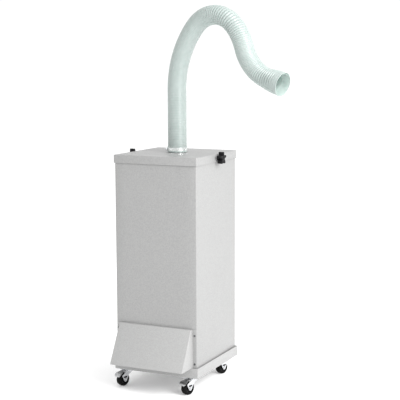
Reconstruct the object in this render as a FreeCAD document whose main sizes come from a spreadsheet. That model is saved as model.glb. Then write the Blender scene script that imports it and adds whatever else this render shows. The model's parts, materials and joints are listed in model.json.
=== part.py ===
import FreeCAD, Part

import math
import os

import Sketcher

# Floor-standing solder fume extractor: a sheet-steel filter cabinet in a caster tray, a lift-off lid
# held by two star knobs, and a self-supporting corrugated hose that carries its open mouth to the work.
# Millimetres, +Z up, front of the cabinet towards -Y. The origin is on the floor, under the middle of
# the cabinet.

doc = FreeCAD.newDocument("fume_extractor")
sheet = doc.addObject("Spreadsheet::Sheet", "dims")

# ---------------------------------------------------------------- driving dimensions

DIMENSIONS = {
    # cabinet, tray and lid
    "sheetThick": 1.5,
    "cabinetWide": 330,
    "cabinetDeep": 345,
    "trayBase": 64,
    "trayRim": 38,
    "trayOver": 7,
    "traySheet": 2,
    "cabinetTop": 862,
    "rearFlange": 20,
    "lidTop": 868,
    "lidLip": 30,
    "lidOver": 3.5,
    "gasketThick": 4,
    # knob clamps
    "knobReach": 23,
    "knobDeep": 20,
    "lobeRadius": 6.5,
    "studRadius": 4,
    # exhaust hood and grille
    "hoodHalf": 148,
    "hoodBase": 102.4,
    "hoodTop": 244,
    "hoodOut": 87,
    "hoodShelf": 12,
    "hoodFlange": 15,
    "exhaustHalf": 120,
    "exhaustBase": 122,
    "exhaustTop": 222,
    # filters and fan
    "railLevel": 560,
    "carbonTall": 50,
    "hepaTall": 150,
    "prefilterTall": 25,
    "filterGap": 5,
    "fanDeck": 245,
    "scrollRadius": 115,
    "scrollTall": 96,
    "impellerRadius": 88,
    "impellerTall": 60,
    "motorRadius": 52,
    "motorTall": 62,
    "shaftRadius": 4,
    # hose
    "inletBack": 10,
    "hoseHeading": -14,
    "hoseOuter": 35.5,
    "hoseBore": 31.8,
    "riserStraight": 234,
    "sweepRadius": 338,
    "sweepAngle": 43,
    "crownRadius": 121,
    "crownAngle": 96,
    "fallRadius": 214,
    "fallAngle": 24,
    "reachRadius": 162.1,
    "reachAngle": 57,
    "mouthStraight": 58.6,
    "bendHalf": 30,
    "lowerBend": 250,
    "upperBend": 776,
    "mouthOuter": 42,
    "mouthBore": 40,
    # casters
    "casterWide": 135,
    "casterDeep": 150,
    "casterHeading": -19,
    "wheelRadius": 25,
    "wheelWide": 22,
    "hubRadius": 16.5,
    "casterTrail": 24,
    "axleRadius": 3,
}


class Size(float):
    """A number that remembers the spreadsheet formula it came from."""

    def __new__(cls, value, formula):
        size = float.__new__(cls, value)
        size.formula = formula
        return size

    def __add__(self, other):
        return Size(float(self) + float(other), f"({self.formula} + {formula_of(other)})")

    def __radd__(self, other):
        return Size(float(other) + float(self), f"({formula_of(other)} + {self.formula})")

    def __sub__(self, other):
        return Size(float(self) - float(other), f"({self.formula} - {formula_of(other)})")

    def __rsub__(self, other):
        return Size(float(other) - float(self), f"({formula_of(other)} - {self.formula})")

    def __mul__(self, other):
        return Size(float(self) * float(other), f"({self.formula} * {formula_of(other)})")

    __rmul__ = __mul__

    def __truediv__(self, other):
        return Size(float(self) / float(other), f"({self.formula} / {formula_of(other)})")

    def __neg__(self):
        return Size(-float(self), f"(-{self.formula})")


def formula_of(value):
    """The formula text of a Size, or a plain number as text."""
    return value.formula if isinstance(value, Size) else f"{float(value):.6f}"


def dim(alias):
    """One driving dimension, tied to its cell."""
    return Size(DIMENSIONS[alias], f"dims.{alias}")


for row, (alias, number) in enumerate(DIMENSIONS.items(), start=1):
    sheet.set(f"A{row}", alias)
    sheet.set(f"B{row}", str(number))
    sheet.setAlias(f"B{row}", alias)
doc.recompute()

# ---------------------------------------------------------------- helpers

NODES = {}


def node(name, shape_object):
    """Keep an object as one finished sub-part, which is written to its own file."""
    shape_object.Label = name
    NODES[name] = shape_object
    return shape_object


def bind(target, path, value):
    """Set a property, and tie it to the sheet when the value came from there."""
    if isinstance(value, Size):
        target.setExpression(path, value.formula)
    else:
        setattr(target, path, value)


def place(target, position, rotation=FreeCAD.Rotation()):
    """Put an object at a position whose coordinates may be tied to the sheet."""
    target.Placement = FreeCAD.Placement(FreeCAD.Vector(*position), rotation)
    for axis, value in zip("xyz", position):
        if isinstance(value, Size):
            target.setExpression(f".Placement.Base.{axis}", value.formula)
    return target


def box(low, size, name="Block"):
    """A box from its lowest corner and its three sizes."""
    block = doc.addObject("Part::Box", name)
    for path, value in zip(("Length", "Width", "Height"), size):
        bind(block, path, value)
    return place(block, low)


TURN = {
    "Z": FreeCAD.Rotation(),
    "X": FreeCAD.Rotation(FreeCAD.Vector(0, 1, 0), 90),
    "-X": FreeCAD.Rotation(FreeCAD.Vector(0, 1, 0), -90),
    "Y": FreeCAD.Rotation(FreeCAD.Vector(1, 0, 0), -90),
    "-Y": FreeCAD.Rotation(FreeCAD.Vector(1, 0, 0), 90),
}


def cylinder(base, radius, length, axis="Z", name="Round"):
    """A cylinder that starts at base and runs along a main axis."""
    rod = doc.addObject("Part::Cylinder", name)
    bind(rod, "Radius", radius)
    bind(rod, "Height", length)
    return place(rod, base, TURN[axis])


def cone(base, low_radius, high_radius, length, axis="Z"):
    """A cone or a tapered disc that starts at base and runs along a main axis."""
    taper = doc.addObject("Part::Cone", "Taper")
    bind(taper, "Radius1", low_radius)
    bind(taper, "Radius2", high_radius)
    bind(taper, "Height", length)
    return place(taper, base, TURN[axis])


def fuse(*shapes, name="Union"):
    """One object from several that overlap."""
    union = doc.addObject("Part::MultiFuse", name)
    union.Shapes = list(shapes)
    return union


def group(*shapes, name="Group"):
    """Separate solids kept together as one sub-part, such as a set of screws."""
    compound = doc.addObject("Part::Compound", name)
    compound.Links = list(shapes)
    return compound


def cut(base, *tools, name="Difference"):
    """The base without the tools."""
    difference = doc.addObject("Part::Cut", name)
    difference.Base = base
    difference.Tool = tools[0] if len(tools) == 1 else fuse(*tools)
    return difference


def tube(base, outer, inner, length, axis="Z"):
    """A round tube or a ring."""
    return cut(cylinder(base, outer, length, axis), cylinder(base, inner, length, axis))


def make_body(name):
    return doc.addObject("PartDesign::Body", name)


def origin_plane(body, role):
    return next(item for item in body.Origin.OriginFeatures if item.Role == role)


def add_sketch(body, role, offset=0.0):
    """A sketch on one of the body's own origin planes, moved along its normal by an offset."""
    sketch = body.newObject("Sketcher::SketchObject", "Sketch")
    sketch.AttachmentSupport = [(origin_plane(body, role), "")]
    sketch.MapMode = "FlatFace"
    sketch.AttachmentOffset = FreeCAD.Placement(FreeCAD.Vector(0, 0, offset), FreeCAD.Rotation())
    if isinstance(offset, Size):
        sketch.setExpression(".AttachmentOffset.Base.z", offset.formula)
    return sketch


def pin_point(sketch, geometry, corner, point):
    """Fix one point of a sketch by its two distances from the origin, tied to the sheet."""
    for kind, along, value in (("DistanceX", -2, point[0]), ("DistanceY", -1, point[1])):
        if abs(value) < 1e-9:
            sketch.addConstraint(Sketcher.Constraint("PointOnObject", geometry, corner, along))
            continue
        index = sketch.addConstraint(
            Sketcher.Constraint(kind, -1, 1, geometry, corner, float(value))
        )
        if isinstance(value, Size):
            sketch.setExpression(f"Constraints[{index}]", value.formula)


def draw_polygon(sketch, points):
    """A closed outline of straight lines, each corner tied to the sheet."""
    corners = [FreeCAD.Vector(float(x), float(y), 0) for x, y in points]
    first = sketch.GeometryCount
    count = len(corners)
    for i in range(count):
        sketch.addGeometry(Part.LineSegment(corners[i], corners[(i + 1) % count]), False)
    for i in range(count):
        following = first + (i + 1) % count
        sketch.addConstraint(Sketcher.Constraint("Coincident", first + i, 2, following, 1))
    for i, point in enumerate(points):
        pin_point(sketch, first + i, 1, point)


def draw_rectangle(sketch, low, high):
    """An upright rectangle from two opposite corners."""
    draw_polygon(sketch, [low, (high[0], low[1]), high, (low[0], high[1])])


def draw_circle(sketch, centre, radius):
    """A circle whose centre and radius are tied to the sheet."""
    middle = FreeCAD.Vector(float(centre[0]), float(centre[1]), 0)
    index = sketch.addGeometry(Part.Circle(middle, FreeCAD.Vector(0, 0, 1), float(radius)), False)
    pin_point(sketch, index, 3, centre)
    radius_index = sketch.addConstraint(Sketcher.Constraint("Radius", index, float(radius)))
    if isinstance(radius, Size):
        sketch.setExpression(f"Constraints[{radius_index}]", radius.formula)


def pad(body, sketch, length, midplane=False):
    feature = body.newObject("PartDesign::Pad", "Pad")
    feature.Profile = sketch
    bind(feature, "Length", length)
    feature.Midplane = midplane
    sketch.Visibility = False
    return feature


def pocket(body, sketch, length, midplane=False, reverse=False):
    """Cut a sketch out of the body, and make sure that it took something away."""
    doc.recompute()
    before = body.Shape.Volume
    feature = body.newObject("PartDesign::Pocket", "Pocket")
    feature.Profile = sketch
    bind(feature, "Length", length)
    feature.Midplane = midplane
    feature.Reversed = reverse
    doc.recompute()
    if not body.Shape.Volume < before - 1:
        raise RuntimeError(f"{body.Name}: a pocket cut nothing")
    return feature


def revolve(body, sketch, line):
    """Turn a sketch all the way round its own horizontal or vertical line."""
    feature = body.newObject("PartDesign::Revolution", "Revolution")
    feature.Profile = sketch
    feature.ReferenceAxis = (sketch, [line])
    feature.Angle = 360
    return feature


def dome_screw(base, radius, axis):
    """A low round-head screw: a head in two steps, and a short shank behind it."""
    x, y, z = base
    step = {"X": (1, 0, 0), "-X": (-1, 0, 0), "Y": (0, 1, 0), "-Y": (0, -1, 0), "Z": (0, 0, 1)}[axis]
    low = cylinder(base, radius, 1.2, axis)
    crown = cone(tuple(p + 1.2 * d for p, d in zip(base, step)), radius, radius * 0.55, 1.1, axis)
    shank_base = tuple(p - 6 * d for p, d in zip((x, y, z), step))
    return fuse(low, crown, cylinder(shank_base, radius * 0.5, 6, axis))


half_wide = dim("cabinetWide") / 2
half_deep = dim("cabinetDeep") / 2
sheet_thick = dim("sheetThick")
tray_floor = dim("trayBase") + dim("traySheet")
cabinet_tall = dim("cabinetTop") - tray_floor

# ---------------------------------------------------------------- cabinet sheet metal

# One sheet is bent into the front, the two sides and a flange behind each side.
wrap = make_body("wrap_body")
wrap_sketch = add_sketch(wrap, "XY_Plane", tray_floor)
inner_wide = half_wide - sheet_thick
inner_deep = half_deep - sheet_thick
flange_end = half_wide - dim("rearFlange")
draw_polygon(wrap_sketch, [
    (-half_wide, -half_deep),
    (half_wide, -half_deep),
    (half_wide, half_deep),
    (flange_end, half_deep),
    (flange_end, inner_deep),
    (inner_wide, inner_deep),
    (inner_wide, -inner_deep),
    (-inner_wide, -inner_deep),
    (-inner_wide, inner_deep),
    (-flange_end, inner_deep),
    (-flange_end, half_deep),
    (-half_wide, half_deep),
])
pad(wrap, wrap_sketch, cabinet_tall)
exhaust_sketch = add_sketch(wrap, "XZ_Plane", half_deep)
draw_rectangle(
    exhaust_sketch,
    (-dim("exhaustHalf"), dim("exhaustBase")),
    (dim("exhaustHalf"), dim("exhaustTop")),
)
pocket(wrap, exhaust_sketch, 2 * sheet_thick, midplane=True)
knob_level = dim("lidTop") - dim("lidLip") / 2
stud_sketch = add_sketch(wrap, "YZ_Plane")
draw_circle(stud_sketch, (0, knob_level), dim("studRadius") + 1.5)
pocket(wrap, stud_sketch, dim("cabinetWide") + 2, midplane=True)
node("cabinet_wrap", wrap)

# The rear panel closes the back and carries the controls and the power inlet.
CONTROL_LEVEL = 300
INLET_X, SWITCH_X, SPEED_X = -70.0, 0.0, 70.0
panel_low = tray_floor + 40
rear_panel_sheet = box(
    (-half_wide + 2, half_deep, panel_low),
    (dim("cabinetWide") - 4, 1.2, dim("cabinetTop") - panel_low),
)
rear_panel_holes = [
    box((INLET_X - 14, half_deep - 1, CONTROL_LEVEL - 10.5), (28, 4, 21)),
    box((SWITCH_X - 10.2, half_deep - 1, CONTROL_LEVEL - 14.2), (20.4, 4, 28.4)),
    cylinder((SPEED_X, half_deep - 1, CONTROL_LEVEL), 4.6, 4, "Y"),
]
screw_levels = [panel_low + 25 + i * (dim("cabinetTop") - panel_low - 90) / 3 for i in range(4)]
screw_across = half_wide - 10
rear_screw_places = [(side * screw_across, level) for side in (-1, 1) for level in screw_levels]
for x, z in rear_screw_places:
    rear_panel_holes.append(cylinder((x, half_deep - 1, z), 2.0, 4, "Y"))
node("rear_panel", cut(rear_panel_sheet, *rear_panel_holes))
rear_flange_holes = [
    cylinder((x, half_deep - 4, z), 2.0, 6, "Y") for x, z in rear_screw_places
]

# ---------------------------------------------------------------- caster tray

tray = make_body("tray_body")
tray_wide = half_wide + dim("trayOver")
tray_deep = half_deep + dim("trayOver")
tray_sketch = add_sketch(tray, "XY_Plane", dim("trayBase"))
draw_rectangle(tray_sketch, (-tray_wide, -tray_deep), (tray_wide, tray_deep))
pad(tray, tray_sketch, dim("trayRim"))
tray_hollow = add_sketch(tray, "XY_Plane", dim("trayBase") + dim("trayRim"))
tray_sheet = dim("traySheet")
draw_rectangle(
    tray_hollow,
    (tray_sheet - tray_wide, tray_sheet - tray_deep),
    (tray_wide - tray_sheet, tray_deep - tray_sheet),
)
pocket(tray, tray_hollow, dim("trayRim") - tray_sheet)

caster_places = {
    "front_left": (-dim("casterWide"), -dim("casterDeep")),
    "front_right": (dim("casterWide"), -dim("casterDeep")),
    "rear_left": (-dim("casterWide"), dim("casterDeep")),
    "rear_right": (dim("casterWide"), dim("casterDeep")),
}
PLATE_HALF = (30.0, 21.0)
BOLT_HALF = (22.0, 14.0)
bolt_places = [
    (x + i * BOLT_HALF[0], y + j * BOLT_HALF[1])
    for x, y in caster_places.values()
    for i in (-1, 1)
    for j in (-1, 1)
]
bolt_holes = add_sketch(tray, "XY_Plane", tray_floor)
for x, y in bolt_places:
    draw_circle(bolt_holes, (x, y), 3.2)
pocket(tray, bolt_holes, 2 * tray_sheet)
node("base_tray", tray)

# ---------------------------------------------------------------- exhaust hood and grille

# The hood is a pocket of bent sheet, open underneath, with a screw flange down each side.
hood_half = dim("hoodHalf")
hood_base = dim("hoodBase")
hood_top = dim("hoodTop")
hood_outer = make_body("hood_outer_body")
hood_profile = add_sketch(hood_outer, "YZ_Plane")
draw_polygon(hood_profile, [
    (-half_deep, hood_base),
    (-half_deep - dim("hoodOut"), hood_base),
    (-half_deep - dim("hoodShelf"), hood_top),
    (-half_deep, hood_top),
])
pad(hood_outer, hood_profile, 2 * hood_half, midplane=True)
hood_inner = make_body("hood_inner_body")
hood_hollow = add_sketch(hood_inner, "YZ_Plane")
slope = (dim("hoodOut") - dim("hoodShelf")) / (hood_top - hood_base)
skin = 1.8
draw_polygon(hood_hollow, [
    (-half_deep + 5, hood_base - 10),
    (-half_deep - dim("hoodOut") + skin - 10 * slope, hood_base - 10),
    (-half_deep - dim("hoodShelf") + skin - sheet_thick * slope, hood_top - sheet_thick),
    (-half_deep + 5, hood_top - sheet_thick),
])
pad(hood_inner, hood_hollow, 2 * hood_half - 2 * sheet_thick, midplane=True)
hood_shell = cut(hood_outer, hood_inner)
hood_flanges = [
    box(
        (x, -half_deep - sheet_thick, hood_base),
        (dim("hoodFlange") + sheet_thick, sheet_thick, hood_top - hood_base),
    )
    for x in (hood_half - sheet_thick, -hood_half - dim("hoodFlange"))
]
hood_screw_places = [
    (side * (hood_half + dim("hoodFlange") * 0.6), level)
    for side in (-1, 1)
    for level in (hood_base + 14, hood_top - 22)
]
hood_holes = [
    cylinder((x, -half_deep - 4, z), 2.0, 8, "Y") for x, z in hood_screw_places
]
node("exhaust_hood", cut(fuse(hood_shell, *hood_flanges), *hood_holes))
# The hood and the rear panel are held by the same round-head screw.
node(
    "panel_screws",
    group(
        *[dome_screw((x, -half_deep - sheet_thick, z), 3.8, "-Y") for x, z in hood_screw_places],
        *[dome_screw((x, half_deep + 1.2, z), 3.8, "Y") for x, z in rear_screw_places],
    ),
)
wrap_holes = add_sketch(wrap, "XZ_Plane", half_deep)
for x, z in hood_screw_places:
    draw_circle(wrap_holes, (x, z), 2.0)
pocket(wrap, wrap_holes, 2 * sheet_thick, midplane=True)
rear_wrap_holes = add_sketch(wrap, "XZ_Plane", -half_deep)
for x, z in rear_screw_places:
    draw_circle(rear_wrap_holes, (x, z), 2.0)
pocket(wrap, rear_wrap_holes, 4 * sheet_thick, midplane=True)

# A slotted sheet behind the exhaust opening keeps fingers out of the fan.
grille_sheet = box(
    (-dim("exhaustHalf") - 12, -inner_deep, dim("exhaustBase") - 12),
    (
        2 * dim("exhaustHalf") + 24,
        1.2,
        dim("exhaustTop") - dim("exhaustBase") + 24,
    ),
)
SLOTS = 6
slot_pitch = (dim("exhaustTop") - dim("exhaustBase")) / SLOTS
grille_slots = [
    box(
        (side * dim("exhaustHalf") / 2 - 50, -inner_deep - 1, dim("exhaustBase") + i * slot_pitch + 5),
        (100, 4, slot_pitch - 10),
    )
    for side in (-1, 1)
    for i in range(SLOTS)
]
node("exhaust_grille", cut(grille_sheet, *grille_slots))

# ---------------------------------------------------------------- filters

filter_half_wide = inner_wide - dim("filterGap")
filter_half_deep = inner_deep - dim("filterGap")
rail_level = dim("railLevel")
rails = []
for side in (-1, 1):
    web_x = inner_wide - sheet_thick if side > 0 else -inner_wide
    shelf_x = inner_wide - 22 if side > 0 else -inner_wide
    web = box(
        (web_x, -filter_half_deep, rail_level - 22), (sheet_thick, 2 * filter_half_deep, 22)
    )
    shelf = box(
        (shelf_x, -filter_half_deep, rail_level - sheet_thick),
        (22, 2 * filter_half_deep, sheet_thick),
    )
    rails.append(fuse(web, shelf))
node("filter_rails", group(*rails))


def filter_block(name, level, tall, frame_thick):
    """A framed filter: a shallow recess in each face leaves the frame standing round the medium."""
    block = box(
        (-filter_half_wide, -filter_half_deep, level),
        (2 * filter_half_wide, 2 * filter_half_deep, tall),
    )
    inner = (2 * filter_half_wide - 2 * frame_thick, 2 * filter_half_deep - 2 * frame_thick, 3)
    recesses = [
        box((frame_thick - filter_half_wide, frame_thick - filter_half_deep, z), inner)
        for z in (level, level + tall - 3)
    ]
    node(name, cut(block, *recesses))
    return level + tall


carbon_top = filter_block("carbon_filter", rail_level, dim("carbonTall"), 16)
hepa_top = filter_block("hepa_filter", carbon_top + 1, dim("hepaTall"), 16)
filter_block("pre_filter", hepa_top + 1, dim("prefilterTall"), 10)

# ---------------------------------------------------------------- blower

fan_deck = dim("fanDeck")
scroll_floor = fan_deck - sheet_thick - dim("scrollTall")
INLET_RADIUS = 62.0
deck_sheet = box(
    (-inner_wide, -inner_deep + 2, fan_deck - sheet_thick),
    (2 * inner_wide, 2 * inner_deep - 4, sheet_thick),
)
node("fan_deck", cut(deck_sheet, cylinder((0, 0, fan_deck - 5), INLET_RADIUS, 10)))

SCROLL_OFFSET = 10.0
OUTLET_HALF = 62.0
scroll_wall = 2.0
scroll_radius = dim("scrollRadius")
scroll_outer = fuse(
    cylinder((SCROLL_OFFSET, 0, scroll_floor), scroll_radius, dim("scrollTall")),
    box(
        (-OUTLET_HALF, -inner_deep + 1.5, scroll_floor),
        (2 * OUTLET_HALF, inner_deep - 1.5, dim("scrollTall")),
    ),
)
scroll_inner = fuse(
    cylinder(
        (SCROLL_OFFSET, 0, scroll_floor + scroll_wall),
        scroll_radius - scroll_wall,
        dim("scrollTall") - 2 * scroll_wall,
    ),
    box(
        (scroll_wall - OUTLET_HALF, -inner_deep - 5, scroll_floor + scroll_wall),
        (2 * OUTLET_HALF - 2 * scroll_wall, inner_deep + 5, dim("scrollTall") - 2 * scroll_wall),
    ),
)
scroll_eye = cylinder((0, 0, fan_deck - sheet_thick - 5), INLET_RADIUS, 10)
scroll_shaft_hole = cylinder((0, 0, scroll_floor - 5), 22, 12)
node("fan_scroll", cut(scroll_outer, scroll_inner, scroll_eye, scroll_shaft_hole))

# The motor hangs under the scroll, with its shaft standing up through the floor of it.
motor_radius = dim("motorRadius")
motor_base = scroll_floor - dim("motorTall")
shaft_top = scroll_floor + 44
node(
    "fan_motor",
    fuse(
        cylinder((0, 0, motor_base), motor_radius, dim("motorTall") - 3),
        cylinder((0, 0, scroll_floor - 3), motor_radius + 12, 3),
        cylinder((0, 0, motor_base - 4), 16, 5),
        cylinder((0, 0, scroll_floor - 4), dim("shaftRadius"), shaft_top - scroll_floor + 4),
    ),
)

# The impeller is a hub and back plate, a ring of swept blades and a shroud ring over them.
impeller = make_body("impeller_body")
impeller_floor = scroll_floor + 12
plate_sketch = add_sketch(impeller, "XY_Plane", impeller_floor)
draw_circle(plate_sketch, (0, 0), dim("impellerRadius"))
draw_circle(plate_sketch, (0, 0), dim("shaftRadius") + 0.05)
pad(impeller, plate_sketch, 2.5)
hub_sketch = add_sketch(impeller, "XY_Plane", impeller_floor)
draw_circle(hub_sketch, (0, 0), 14)
draw_circle(hub_sketch, (0, 0), dim("shaftRadius") + 0.05)
pad(impeller, hub_sketch, 20)
blade_sketch = add_sketch(impeller, "XY_Plane", impeller_floor)
draw_polygon(blade_sketch, [
    (dim("impellerRadius") - 28, -8.0),
    (dim("impellerRadius") - 26, -9.6),
    (dim("impellerRadius") - 2, 10.0),
    (dim("impellerRadius") - 4, 11.6),
])
blade = pad(impeller, blade_sketch, dim("impellerTall"))
BLADES = 12
blades = impeller.newObject("PartDesign::PolarPattern", "Blades")
blades.Originals = [blade]
blades.Axis = (blade_sketch, ["N_Axis"])
blades.Angle = 360
blades.Occurrences = BLADES
impeller.Tip = blades
shroud_sketch = add_sketch(impeller, "XY_Plane", impeller_floor + dim("impellerTall") - 2)
draw_circle(shroud_sketch, (0, 0), dim("impellerRadius"))
draw_circle(shroud_sketch, (0, 0), dim("impellerRadius") - 27)
pad(impeller, shroud_sketch, 2)
node("fan_impeller", impeller)
node(
    "impeller_nut",
    tube((0, 0, impeller_floor + 20.1), 7.5, dim("shaftRadius") + 0.05, 6),
)

# ---------------------------------------------------------------- controls on the rear panel

rear_face = half_deep + 1.2
node(
    "speed_controller",
    fuse(
        box((SPEED_X - 35, half_deep - 40, CONTROL_LEVEL - 25), (70, 32, 50)),
        cylinder((SPEED_X, half_deep - 9, CONTROL_LEVEL), 9, 8.9, "Y"),
        cylinder((SPEED_X, half_deep - 9, CONTROL_LEVEL), 4.5, 14.2, "Y"),
        cylinder((SPEED_X, half_deep - 9, CONTROL_LEVEL), 3, 24, "Y"),
    ),
)
knob_skirt = cylinder((SPEED_X, rear_face + 4.5, CONTROL_LEVEL), 13, 3, "Y")
knob_grip = cone((SPEED_X, rear_face + 7.5, CONTROL_LEVEL), 10.5, 9, 10.5, "Y")
pointer = box((SPEED_X - 1, rear_face + 7, CONTROL_LEVEL + 6), (2, 11.6, 5.5))
shaft_bore = cylinder((SPEED_X, rear_face + 3, CONTROL_LEVEL), 3.05, 11.2, "Y")
node("speed_knob", cut(fuse(knob_skirt, knob_grip, pointer), shaft_bore))

switch_body = fuse(
    box((SWITCH_X - 12, rear_face, CONTROL_LEVEL - 16), (24, 2, 32)),
    box((SWITCH_X - 10, half_deep - 20, CONTROL_LEVEL - 14), (20, 22, 28)),
)
switch_well = box((SWITCH_X - 8, half_deep - 12, CONTROL_LEVEL - 12), (16, 20, 24))
node("switch_housing", cut(switch_body, switch_well))
rocker = make_body("rocker_body")
rocker_sketch = add_sketch(rocker, "YZ_Plane", SWITCH_X)
draw_polygon(rocker_sketch, [
    (rear_face - 5, CONTROL_LEVEL - 6.0),
    (rear_face + 0.5, CONTROL_LEVEL - 11.0),
    (rear_face + 4.5, CONTROL_LEVEL - 10.5),
    (rear_face + 2.6, CONTROL_LEVEL + 0.0),
    (rear_face + 3.0, CONTROL_LEVEL + 10.5),
    (rear_face - 1.0, CONTROL_LEVEL + 11.0),
    (rear_face - 5, CONTROL_LEVEL + 6.0),
])
pad(rocker, rocker_sketch, 15.2, midplane=True)
rocker_pivot = cylinder((SWITCH_X - 7.85, rear_face - 1.5, CONTROL_LEVEL), 2, 15.7, "X")
node("switch_rocker", fuse(rocker, rocker_pivot))

# A recessed three-pin appliance inlet: the flange is outside, the body goes in through the panel.
inlet_body = fuse(
    box((INLET_X - 24, rear_face, CONTROL_LEVEL - 14), (48, 3, 28)),
    box((INLET_X - 13.5, half_deep - 22, CONTROL_LEVEL - 10), (27, 24, 20)),
)
inlet_recess = box((INLET_X - 12, half_deep - 14, CONTROL_LEVEL - 8), (24, 24, 16))
inlet_pins = [
    box((INLET_X + x - 1, half_deep - 15, CONTROL_LEVEL + z - 2), (2, 10, 4))
    for x, z in ((-7, -1.5), (0, 2.5), (7, -1.5))
]
node("power_inlet", fuse(cut(inlet_body, inlet_recess), *inlet_pins))

# ---------------------------------------------------------------- lid

lid_wide = half_wide + dim("lidOver")
lid_deep = half_deep + dim("lidOver")
lid_top = dim("lidTop")
lid_base = lid_top - dim("lidLip")
inlet_back = dim("inletBack")
COLLAR_OUTER = 31.3
COLLAR_BORE = 29.8
lid = make_body("lid_body")
lid_sketch = add_sketch(lid, "XY_Plane", lid_base)
draw_rectangle(lid_sketch, (-lid_wide, -lid_deep), (lid_wide, lid_deep))
pad(lid, lid_sketch, dim("lidLip"))
lid_hollow = add_sketch(lid, "XY_Plane", lid_base)
draw_rectangle(
    lid_hollow,
    (sheet_thick - lid_wide, sheet_thick - lid_deep),
    (lid_wide - sheet_thick, lid_deep - sheet_thick),
)
pocket(lid, lid_hollow, dim("lidLip") - sheet_thick, reverse=True)
lid_hole = add_sketch(lid, "XY_Plane", lid_top)
draw_circle(lid_hole, (0, inlet_back), COLLAR_OUTER)
pocket(lid, lid_hole, 2 * sheet_thick)
# A notch open at the bottom of each lip drops over the knob studs.
notch_half = dim("studRadius") + 1
notch = add_sketch(lid, "YZ_Plane")
draw_rectangle(notch, (-notch_half, lid_base - 1), (notch_half, knob_level + notch_half))
pocket(lid, notch, 2 * lid_wide + 2, midplane=True)
node("lid", lid)

gasket_top = lid_top - sheet_thick
gasket_outer = (half_wide + 1, half_deep + 1)
GASKET_BAND = 12
gasket_outer_block = box(
    (-gasket_outer[0], -gasket_outer[1], gasket_top - dim("gasketThick")),
    (2 * gasket_outer[0], 2 * gasket_outer[1], dim("gasketThick")),
)
gasket_inner_block = box(
    (GASKET_BAND - gasket_outer[0], GASKET_BAND - gasket_outer[1], gasket_top - 10),
    (2 * gasket_outer[0] - 2 * GASKET_BAND, 2 * gasket_outer[1] - 2 * GASKET_BAND, 20),
)
node("lid_gasket", cut(gasket_outer_block, gasket_inner_block))

# The inlet collar stands on the lid inside the hose, with its flange under the sheet.
collar_body = fuse(
    cylinder((0, inlet_back, gasket_top - 1.5), 48, 1.5),
    cylinder((0, inlet_back, gasket_top - 1.5), COLLAR_OUTER, 36),
)
collar_bore = cylinder((0, inlet_back, gasket_top - 5), COLLAR_BORE, 60)
node("inlet_collar", cut(collar_body, collar_bore))

# ---------------------------------------------------------------- star knob clamps

# Each knob turns on a stud through the lid's lip into a threaded insert in the cabinet wall.
LOBES = 5
INSERT_RADIUS = 5.45
inserts = []
for side, word in ((-1, "left"), (1, "right")):
    axis = "X" if side > 0 else "-X"
    wall = side * (half_wide - 12)
    inserts.append(tube((wall, 0, knob_level), INSERT_RADIUS, dim("studRadius") + 0.05, 12, axis))
    washer_base = side * (lid_wide + 0.3)
    node(
        f"knob_washer_{word}",
        tube((washer_base, 0, knob_level), 10, dim("studRadius") + 0.05, 1.6, axis),
    )
    boss_base = side * (lid_wide + 2.1)
    grip_base = side * (lid_wide + 7)
    knob_deep = dim("knobDeep")
    reach = dim("knobReach") - dim("lobeRadius")
    pieces = [
        cylinder((boss_base, 0, knob_level), 9, 6, axis),
        cylinder((grip_base, 0, knob_level), 12, knob_deep, axis),
        cylinder((side * (half_wide - 11.5), 0, knob_level), dim("studRadius"), 26, axis),
    ]
    for i in range(LOBES):
        angle = math.radians(90 + i * 360 / LOBES)
        across, up = math.cos(angle), math.sin(angle)
        pieces.append(
            cylinder(
                (grip_base, reach * across, knob_level + reach * up),
                dim("lobeRadius"),
                knob_deep,
                axis,
            )
        )
        web_x = grip_base if side > 0 else grip_base - knob_deep
        web = box((web_x, 0, knob_level), (knob_deep, reach, 8.0))
        turn = FreeCAD.Rotation(FreeCAD.Vector(1, 0, 0), math.degrees(angle))
        offset = turn.multVec(FreeCAD.Vector(0, 0, -4))
        place(web, (web_x, offset.y, knob_level + offset.z), turn)
        pieces.append(web)
    node(f"star_knob_{word}", fuse(*pieces))
node("knob_inserts", group(*inserts))

# ---------------------------------------------------------------- hose

# The hose hangs in one upright plane through the collar. Its route is a straight riser and four arcs,
# each joined to the next along a common tangent, and a short straight mouth.
hose_heading = math.radians(dim("hoseHeading"))
hose_along = FreeCAD.Vector(math.cos(hose_heading), math.sin(hose_heading), 0)
hose_up = FreeCAD.Vector(0, 0, 1)
hose_foot = FreeCAD.Vector(0, float(inlet_back), float(lid_top))

HOSE_RUNS = [
    (float(dim("riserStraight")), None),
    (math.radians(dim("sweepAngle")) * dim("sweepRadius"), float(dim("sweepRadius"))),
    (math.radians(dim("crownAngle")) * dim("crownRadius"), float(dim("crownRadius"))),
    (math.radians(dim("fallAngle")) * dim("fallRadius"), float(dim("fallRadius"))),
    (math.radians(dim("reachAngle")) * dim("reachRadius"), -float(dim("reachRadius"))),
    (float(dim("mouthStraight")), None),
]
hose_length = sum(float(length) for length, radius in HOSE_RUNS)


def hose_point(distance):
    """The centre line's point and direction at a distance from the lid."""
    across, rise, lean = 0.0, 0.0, 0.0
    left = distance
    for length, radius in HOSE_RUNS:
        step = min(left, float(length))
        if radius is None:
            across += step * math.sin(lean)
            rise += step * math.cos(lean)
        else:
            turned = lean + step / radius
            across += radius * (math.cos(lean) - math.cos(turned))
            rise += radius * (math.sin(turned) - math.sin(lean))
            lean = turned
        left -= step
        if left <= 1e-9:
            break
    place_vector = hose_foot + hose_along * across + hose_up * rise
    return place_vector, hose_along * math.sin(lean) + hose_up * math.cos(lean)


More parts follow.
